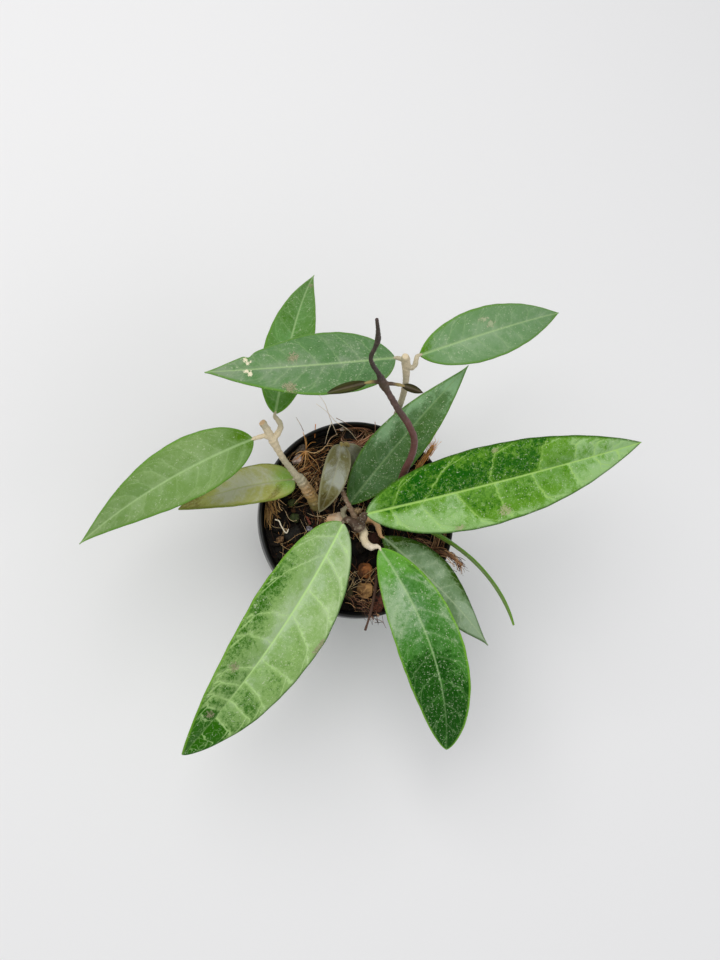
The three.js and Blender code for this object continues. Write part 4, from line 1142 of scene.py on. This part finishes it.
# ---------- fibres ----------
FIBRE_GAIN = 1.7
FIBRE_TINTS = ["7a4a26", "4b2f1d", "a8764a", "2c1b11", "c09a6a", "3d2618", "6a4023",
               "1c110b", "b0946c", "e0c49a"]
RUST = ["a8743c", "8a5a2c", "c4935a", "5c4024"]
HUSK = ["f0b880", "e8a264", "c88848", "fad4a8", "9a683c"]
BROWN = ["6a4a34", "8a6448", "4a3222", "a07c5a", "38251a"]
PINKISH = ["7a5440", "a8805c", "2c1c12", "5a3e30", "3c281e"]
ROSY = ["b88468", "96684c", "d0a488", "5c3c2c", "7c5034"]
TAN = ["94703f", "b08a5c", "6c5030", "c8a678", "4c3822", "2c2016"]
WALL_TINTS = ["8b7050", "b89468", "3a2a1c", "cca878", "2c2016", "9a6438"]
RING_TINTS = ["a07a60", "80604a", "c09c84", "5a4032", "3a2a20"]
TUFTS = 66
WALL_STRANDS = 90
FAN_STRANDS = 26
RING_STRANDS = 44
STRAND_POINTS = 8
STRAND_SPAN = 6
THICK_STRAND = 0.4  # above this radius a strand is lumpy

# Bunches of strands: the line they follow as (x, y, z), how many, how far they stray,
# the least and greatest radius, and their colours. All lengths are in mm.
BUNCHES = [
    ([(-21, 26.9, 69), (-21.7, 30.6, 72.5), (-23, 34, 75.5)], 9, 0.22, 0.1, 0.2, RUST),
    ([(28, -10, 60), (31.5, -11.6, 67), (34.6, -13, 72.9), (38, -15, 74.9), (42.6, -18.6, 74.6)],
     34, 0.75, 0.14, 0.3, BROWN),
    ([(38, -15, 74.6), (40.6, -18.4, 74), (42.4, -21.8, 72.8)], 16, 0.9, 0.08, 0.2, BROWN),
    ([(26.4, 21.4, 61), (26.6, 23.4, 69), (28.6, 27.2, 75.2), (30.2, 30.3, 78.6)], 30, 0.7, 0.12,
     0.28, HUSK),
    ([(28.6, 27.2, 75.2), (30.2, 30.3, 78.6), (31.4, 33, 80.6)], 14, 0.8, 0.06, 0.14, HUSK),
    ([(22.9, -7.8, 67.6), (28, -10.5, 68.4), (33.5, -13, 70)], 44, 1.5, 0.08, 0.2, BROWN),
    ([(35.5, 2, 68.6), (34.6, -7, 69), (31.5, -15.5, 69), (27, -22.5, 69)], 60, 1.3, 0.08, 0.18,
     BROWN),
    ([(-0.2, -35.2, 69), (3.5, -37.6, 72.6), (6.7, -40.6, 73), (9, -42.6, 71)], 18, 1.2, 0.08, 0.18,
     PINKISH),
    ([(-4, -31, 67.6), (1, -34.4, 68.2), (8, -36, 68.6)], 22, 1.4, 0.08, 0.18, PINKISH),
    ([(-36, 6.4, 68.4), (-34.4, 4.2, 69), (-31, 0.6, 68.4)], 22, 1.1, 0.14, 0.36, TAN),
    ([(-3, 30.6, 68), (2, 31.6, 69), (6, 35.5, 69.2)], 34, 0.9, 0.07, 0.16, ROSY),
    ([(-9, 37.4, 69.4), (-1, 38.6, 70), (6, 36.6, 69.8)], 30, 0.7, 0.06, 0.14, ROSY),
    ([(-34.6, 12, 68.4), (-35.4, 5, 68.8), (-34.4, -4, 68.6)], 30, 1.3, 0.08, 0.22, TAN),
    ([(-16, 18, 68), (-19, 12, 68.4), (-24, 8, 68.4)], 26, 1.5, 0.08, 0.18, TAN),
    ([(-30, 14, 68.4), (-24, 17, 69), (-18, 21, 68.6)], 30, 1.5, 0.08, 0.2, FIBRE_TINTS),
    ([(12, -8, 67), (16, -14, 67.6), (18, -22, 68)], 26, 1.6, 0.08, 0.18, FIBRE_TINTS),
    ([(-14, 0, 67), (-10, -8, 67), (-8, -16, 67.4)], 20, 1.5, 0.08, 0.18, FIBRE_TINTS),
]

# Single strands: points (x, y, z), the radius at the start and at the end, colour.
FAN_FOOT = (-21.1, 27.2, 69.2)
FAN_TOP = (-21.1, 27.2, 69.6)
SPRIG = (-11.4, 38.6, 74)
STRANDS = [
    ([(9.4, -20.5, 63), (8.2, -25, 68.6), (6.4, -32, 72), (4.4, -38.6, 74.4), (2.2, -45, 75.2)],
     0.8, 0.5, "3e2a20"),
    ([(28, -10, 60), (31.5, -11.6, 67), (34.6, -13, 72.9), (38, -15, 74.9), (42.4, -18.4, 74.6)],
     1.5, 0.6, "5c3f2a"),
    ([(26.4, 21.4, 61), (26.6, 23.4, 69), (28.6, 27.2, 75.2), (30, 29.9, 78.2)], 1.3, 0.5,
     "e0a468"),
    ([(-33.2, -1.2, 69), (-31.6, -1.8, 69.4), (-30.7, -3.7, 69.2), (-28.7, -6.5, 69),
     (-27.7, -4.9, 69)], 0.28, 0.24, "d9cdbb"),
    ([(-23, 34, 75.5), (-24.7, 36.5, 77), (-26.6, 38.9, 78.5)], 0.1, 0.06, "6c5a4c"),
    ([FAN_TOP, (-23.5, 24.9, 70), (-25.4, 23.1, 68.6)], 0.16, 0.1, "c49058"),
    ([FAN_TOP, (-22.7, 23.7, 70.2), (-24.1, 20.3, 68.4)], 0.17, 0.1, "a8743c"),
    ([FAN_TOP, (-21.5, 22.9, 70.2), (-22, 19.1, 68.4)], 0.2, 0.11, "c49a68"),
    ([FAN_TOP, (-19.1, 24.6, 70.4), (-16.6, 22.3, 70), (-15, 19.4, 68.2)], 0.18, 0.1,
     "b08452"),
    ([FAN_TOP, (-17.9, 26.3, 70.6), (-14.7, 27.7, 70.6), (-12.9, 29.5, 70),
     (-9.4, 30.4, 68.6)], 0.2, 0.12, "c4a074"),
    ([FAN_TOP, (-24, 26.5, 70), (-25.4, 25.5, 69)], 0.15, 0.1, "c49a68"),
    ([(-12.9, 29.5, 70), (-11, 32.8, 70.8), (-8, 34.8, 70)], 0.14, 0.1, "b8977a"),
    ([FAN_TOP, (-19.9, 23.4, 70), (-17.7, 20.7, 69.6), (-14.6, 18.6, 68.2)], 0.16, 0.1,
     "9a6c3c"),
    ([(-21.1, 28.3, 70), (-19.2, 30.4, 70.5), (-17, 31, 70)], 0.16, 0.1, "a8743c"),
    ([SPRIG, (-15.8, 43.4, 84), (-19.3, 45.3, 90)], 0.11, 0.07, "b8a890"),
    ([SPRIG, (-12.6, 34.6, 72), (-13, 30.8, 68)], 0.13, 0.1, "c8b8a0"),
    ([SPRIG, (-9.8, 36.4, 72), (-8.2, 34.6, 69)], 0.13, 0.1, "c8b8a0"),
    ([(-9.8, 39, 74), (-14.6, 41.2, 80.6), (-19.6, 42.7, 86)], 0.1, 0.07, "b8a890"),
    ([(-9.8, 39, 74), (-4, 35.7, 73), (0, 32.4, 70)], 0.12, 0.09, "c8b8a0"),
    ([(-9.7, 40.2, 75), (-6, 38.6, 74.6), (-2.3, 37.3, 73)], 0.14, 0.1, "6a4a34"),
    ([(-17.6, 38, 72), (-17.6, 36, 71), (-17.4, 33, 69)], 0.2, 0.16, "c07a40"),
    ([(6.2, 39.1, 76), (6.9, 37.4, 73.4), (7.5, 35.9, 70)], 0.16, 0.12, "b08878"),
    ([(-22.9, 35, 73), (-24.6, 36.4, 77), (-26.4, 37.7, 80)], 0.12, 0.08, "a8907a"),
    ([(10, -24, 67), (10.8, -31, 70), (13, -38.6, 73.6), (14.6, -42, 74)], 0.2, 0.12, "7a5a48"),
]


def fibre(rng, start, heading, length, lift, radius, wander):
    """A thin curved strand; heading in radians, lift is how high its middle rises."""
    points = []
    bend = rng.uniform(-wander, wander)
    curl = rng.uniform(-wander, wander)
    x, y, z = start
    for i in range(STRAND_POINTS):
        t = i / (STRAND_POINTS - 1)
        points.append((x, y, z + lift * math.sin(math.pi * 0.9 * t)))
        angle = heading + bend * t + curl * math.sin(5 * t)
        x += math.cos(angle) * length / (STRAND_POINTS - 1)
        y += math.sin(angle) * length / (STRAND_POINTS - 1)
    return np.array(points), radius * np.linspace(1.0, 0.45, STRAND_POINTS)


def lying(rng, x, y, heading, length, lift, radius, tint, wander):
    """A strand that lies on the mix."""
    start = (x, y, soil_height(x, y) + rng.uniform(-0.4, 0.9))
    path, radii = fibre(rng, start, heading, length, lift, radius, wander)
    return inside_pot(path), radii, tint


def inside_pot(path):
    """Keeps a strand that lies below the rim within the pot's wall."""
    kept = path.copy()
    for point in kept:
        r = math.hypot(point[0], point[1])
        limit = min(wall_radius(point[2]), RIM_RADIUS - 0.3) - WALL - CLEARANCE
        if point[2] < POT_HEIGHT + 0.4 and r > limit:
            point[:2] *= limit / r
    return kept


def scattered_tufts(rng):
    """Tufts of near-parallel strands all over the mix."""
    edge = bore_radius(SOIL_EDGE) - 1.0
    for _ in range(TUFTS):
        r = edge * math.sqrt(rng.random())
        x, y = polar(r, rng.uniform(0, 2 * math.pi))
        heading = rng.uniform(0, 2 * math.pi)
        tint = rng.choice(FIBRE_TINTS)
        for _ in range(rng.randint(7, 16)):
            yield lying(rng, x + rng.gauss(0, 1.9), y + rng.gauss(0, 1.9),
                        heading + rng.gauss(0, 0.45), rng.uniform(4, 14),
                        rng.uniform(0.2, 1.8), rng.uniform(0.05, 0.13),
                        tint if rng.random() < 0.5 else rng.choice(FIBRE_TINTS), 0.9)


def wall_strands(rng):
    """Strands that lie round the wall at the back."""
    for _ in range(WALL_STRANDS):
        angle = math.radians(rng.uniform(58, 160))
        x, y = polar(rng.uniform(26.0, 36.6), angle)
        yield lying(rng, x, y,
                    angle + rng.choice((-1, 1)) * (math.pi / 2 + rng.uniform(-0.1, 0.35)),
                    rng.uniform(7, 20), rng.uniform(0.4, 2.4), rng.uniform(0.05, 0.13),
                    rng.choice(WALL_TINTS), 0.7)


def fan(rng):
    """A tuft that fans out at the back left."""
    for _ in range(FAN_STRANDS):
        heading = rng.uniform(math.pi, 2.2 * math.pi)
        path, radii = fibre(rng, FAN_FOOT, heading, rng.uniform(3, 10), rng.uniform(0.2, 1.2),
                            rng.uniform(0.05, 0.12), 0.6)
        path[:, 2] -= 2.2 * np.linspace(0, 1, len(path)) ** 2
        yield inside_pot(path), radii, rng.choice(RUST)


def coir_ring(rng):
    """Strands that curl round a dark hole beside the fan."""
    count = 12
    for _ in range(RING_STRANDS):
        start, radius = rng.uniform(0, 2 * math.pi), rng.gauss(3.0, 0.45)
        angles = start + np.linspace(0, rng.uniform(0.6, 2.0), count)
        path = np.array(COIR_RING) + np.stack(
            [radius * np.cos(angles), radius * np.sin(angles),
             0.5 * np.sin(2 * angles) + rng.uniform(-0.4, 0.9)], -1)
        path[:, :2] += rng.gauss(0, 0.4) * np.sin(3 * angles)[:, None]
        yield (inside_pot(path), rng.uniform(0.06, 0.16) * np.linspace(1, 0.5, count),
               rng.choice(RING_TINTS))


def bunches(rng):
    """Pieces of each bunch's line, each strayed and swayed a little."""
    for line, count, stray, thin, thick, colours in BUNCHES:
        path = spline(line, STRAND_SPAN)
        for _ in range(count):
            first = rng.randrange(0, max(1, len(path) - 6))
            last = rng.randrange(min(first + 5, len(path) - 1), len(path))
            piece = path[first:last + 1]
            offset = np.array([rng.gauss(0, stray) for _ in range(3)]) * (1, 1, 0.5)
            drift = np.array([rng.gauss(0, stray) for _ in range(3)]) * (1, 1, 0.5)
            t = np.linspace(0, 1, len(piece))[:, None]
            sway = np.sin(t * rng.uniform(3, 7)) * stray * 0.35
            yield (inside_pot(piece + offset + drift * t + sway),
                   rng.uniform(thin, thick) * np.linspace(1, 0.5, len(piece)),
                   rng.choice(colours))


def single_strands(rng):
    for line, first, last, tint in STRANDS:
        path = spline(line, STRAND_SPAN)
        radii = np.linspace(first, last, len(path))
        if first > THICK_STRAND:
            radii = radii * np.array([rng.uniform(0.8, 1.15) for _ in path])
        yield path, radii, tint


def make_fibres():
    """Coir and husk. The groups draw from one generator, in this order."""
    rng = random.Random(SEED + 1)
    parts = []
    for group, sides in ((scattered_tufts, 4), (wall_strands, 4), (fan, 4), (coir_ring, 4),
                         (bunches, 4), (single_strands, 8)):
        for path, radii, tint in group(rng):
            colour = np.array(linear(tint))
            parts.append((*tube(path, radii, sides),
                          colour * min(FIBRE_GAIN, 1 / colour[:3].max())))
    look = Look("coir", 0.7)
    wear = look.noise(look.place(), 1600.0)
    colour = look.coats(look.tint(), ("1c110b", wear.fade(0.5, 0.75) * 0.4))
    make_heap("coir_fibres", parts, look.finish(colour, wear, 0.05, 0.6))


# ---------- stones ----------
STONE_ROUGH = {"pebble": 0.08, "bark": 0.22, "perlite": 0.18}
WORN_FACES = 11


def make_stone(name, stone):
    """A worn pebble, a bark chip or a lump of grit."""
    rng = random.Random(name_seed(name))
    shape = bmesh.new()
    bmesh.ops.create_icosphere(shape, subdivisions=5, radius=1.0)
    rough = STONE_ROUGH[stone["slot"]]
    offset = Vector(stone["at"])
    # Flat worn faces: what lies outside a plane is pressed back to it.
    planes = [(Vector([rng.gauss(0, 1) for _ in range(3)]).normalized(),
               rng.uniform(0.62, 0.84)) for _ in range(WORN_FACES)]
    for vertex in shape.verts:
        p = vertex.co.copy()
        broad = noise.noise(p * 1.3 + offset)
        detail = noise.fractal(p * 3.4 + offset, 0.9, 2.2, 4)
        for normal, reach in planes:
            p -= normal * max(0.0, p.dot(normal) - reach) * 0.9
        p *= 1.18 + rough * broad + 0.35 * rough * detail
        vertex.co = Vector([c * h for c, h in zip(p, stone["half"])])
    bmesh.ops.rotate(shape, verts=shape.verts[:], cent=(0, 0, 0),
                     matrix=Matrix.Rotation(math.radians(stone["turn"]), 3, "Z"))
    local, faces = points_and_faces(shape)
    obj = make_object(name + "_stone", local + np.array(stone["at"]), faces,
                      stone_look(name, *stone["tints"]), stone["slot"], name)
    store(obj.data, "shaded", -local[:, 0] / stone["half"][0])


def stone_look(name, light, dark):
    look = Look(name, 0.7)
    place = look.place()
    coarse = look.noise(place, 420.0, 4.0, 0.6)
    fine = look.noise(place, 2400.0, 3.0, 0.7)
    pitted = look.noise(place, 900.0, 3.0, 0.7).fade(0.54, 0.7)
    shade = (coarse + look.value("shaded") * 0.16).fade(0.42, 0.68)
    colour = look.coats(light, (dark, shade), (dark, pitted * 0.5),
                        ("1a120d", fine.fade(0.6, 0.74) * 0.6))
    return look.finish(colour, fine + coarse - pitted, 0.3, 0.8)


# ---------- stage, in metres ----------
FLOOR_REACH = 3.0
PLANT_MIDDLE = (0, 0, 0.09)


def make_floor():
    mesh = bpy.data.meshes.new("floor")
    corners = [(x * FLOOR_REACH, y * FLOOR_REACH, 0)
               for x, y in ((-1, -1), (1, -1), (1, 1), (-1, 1))]
    mesh.from_pydata(corners, [], [(0, 1, 2, 3)])
    look = Look("floor", 0.9, 0.5)
    look.feed(look.shader, {"Base Color": "e9e9ea"})
    mesh.materials.append(look.material)
    link("floor", mesh)


def add_area(name, place, size, power, tint):
    """A round lamp that shines on the middle of the plant."""
    data = bpy.data.lights.new(name, "AREA")
    data.shape = "DISK"
    data.size = size
    data.energy = power
    data.color = tint
    lamp = link(name, data)
    lamp.location = place
    ahead = Vector(PLANT_MIDDLE) - Vector(place)
    lamp.rotation_euler = ahead.to_track_quat("-Z", "Y").to_euler()


def make_lights():
    world = bpy.data.worlds.new("studio")
    bpy.context.scene.world = world
    world.use_nodes = True
    background = world.node_tree.nodes["Background"]
    background.inputs["Color"].default_value = (0.97, 0.98, 1.0, 1)
    background.inputs["Strength"].default_value = 0.5
    add_area("key", (-0.4, 0.3, 0.95), 0.8, 6.2, (1, 0.985, 0.96))
    add_area("fill", (0.6, -0.4, 0.8), 0.9, 2.2, (1, 1, 1))


# The camera looks down on the pot, leaning towards the front left of its axis.
CAMERA_PLACE = (-86.8, -67.8, 498.0)
CAMERA_AIM = (0.8, 15.6, 72.0)
FOCAL_PIXELS = 1093.0
IMAGE_HEIGHT = 960


def make_camera():
    data = bpy.data.cameras.new("camera")
    data.sensor_fit = "VERTICAL"
    data.sensor_height = 24.0
    data.lens = FOCAL_PIXELS / IMAGE_HEIGHT * data.sensor_height
    data.clip_start = 0.01
    camera = link("camera", data)
    place, target = Vector(CAMERA_PLACE) * MM, Vector(CAMERA_AIM) * MM
    forward = (target - place).normalized()
    right = forward.cross(Vector((0, 1, 0))).normalized()
    up = right.cross(forward)
    turn = Matrix((right, up, -forward)).transposed()
    camera.matrix_world = Matrix.Translation(place) @ turn.to_4x4()
    bpy.context.scene.camera = camera


make_camera()
make_floor()
make_lights()
bpy.context.scene.view_settings.view_transform = "Standard"

make_pot()
make_soil()
make_chips()
make_lumps()
make_fibres()
for stone_name, stone_spec in STONES.items():
    make_stone(stone_name, stone_spec)
for stem_name, stem_spec in STEMS.items():
    make_stem(stem_name, stem_spec)
for leaf_name, leaf_spec in LEAVES.items():
    make_blade(leaf_name, leaf_spec)
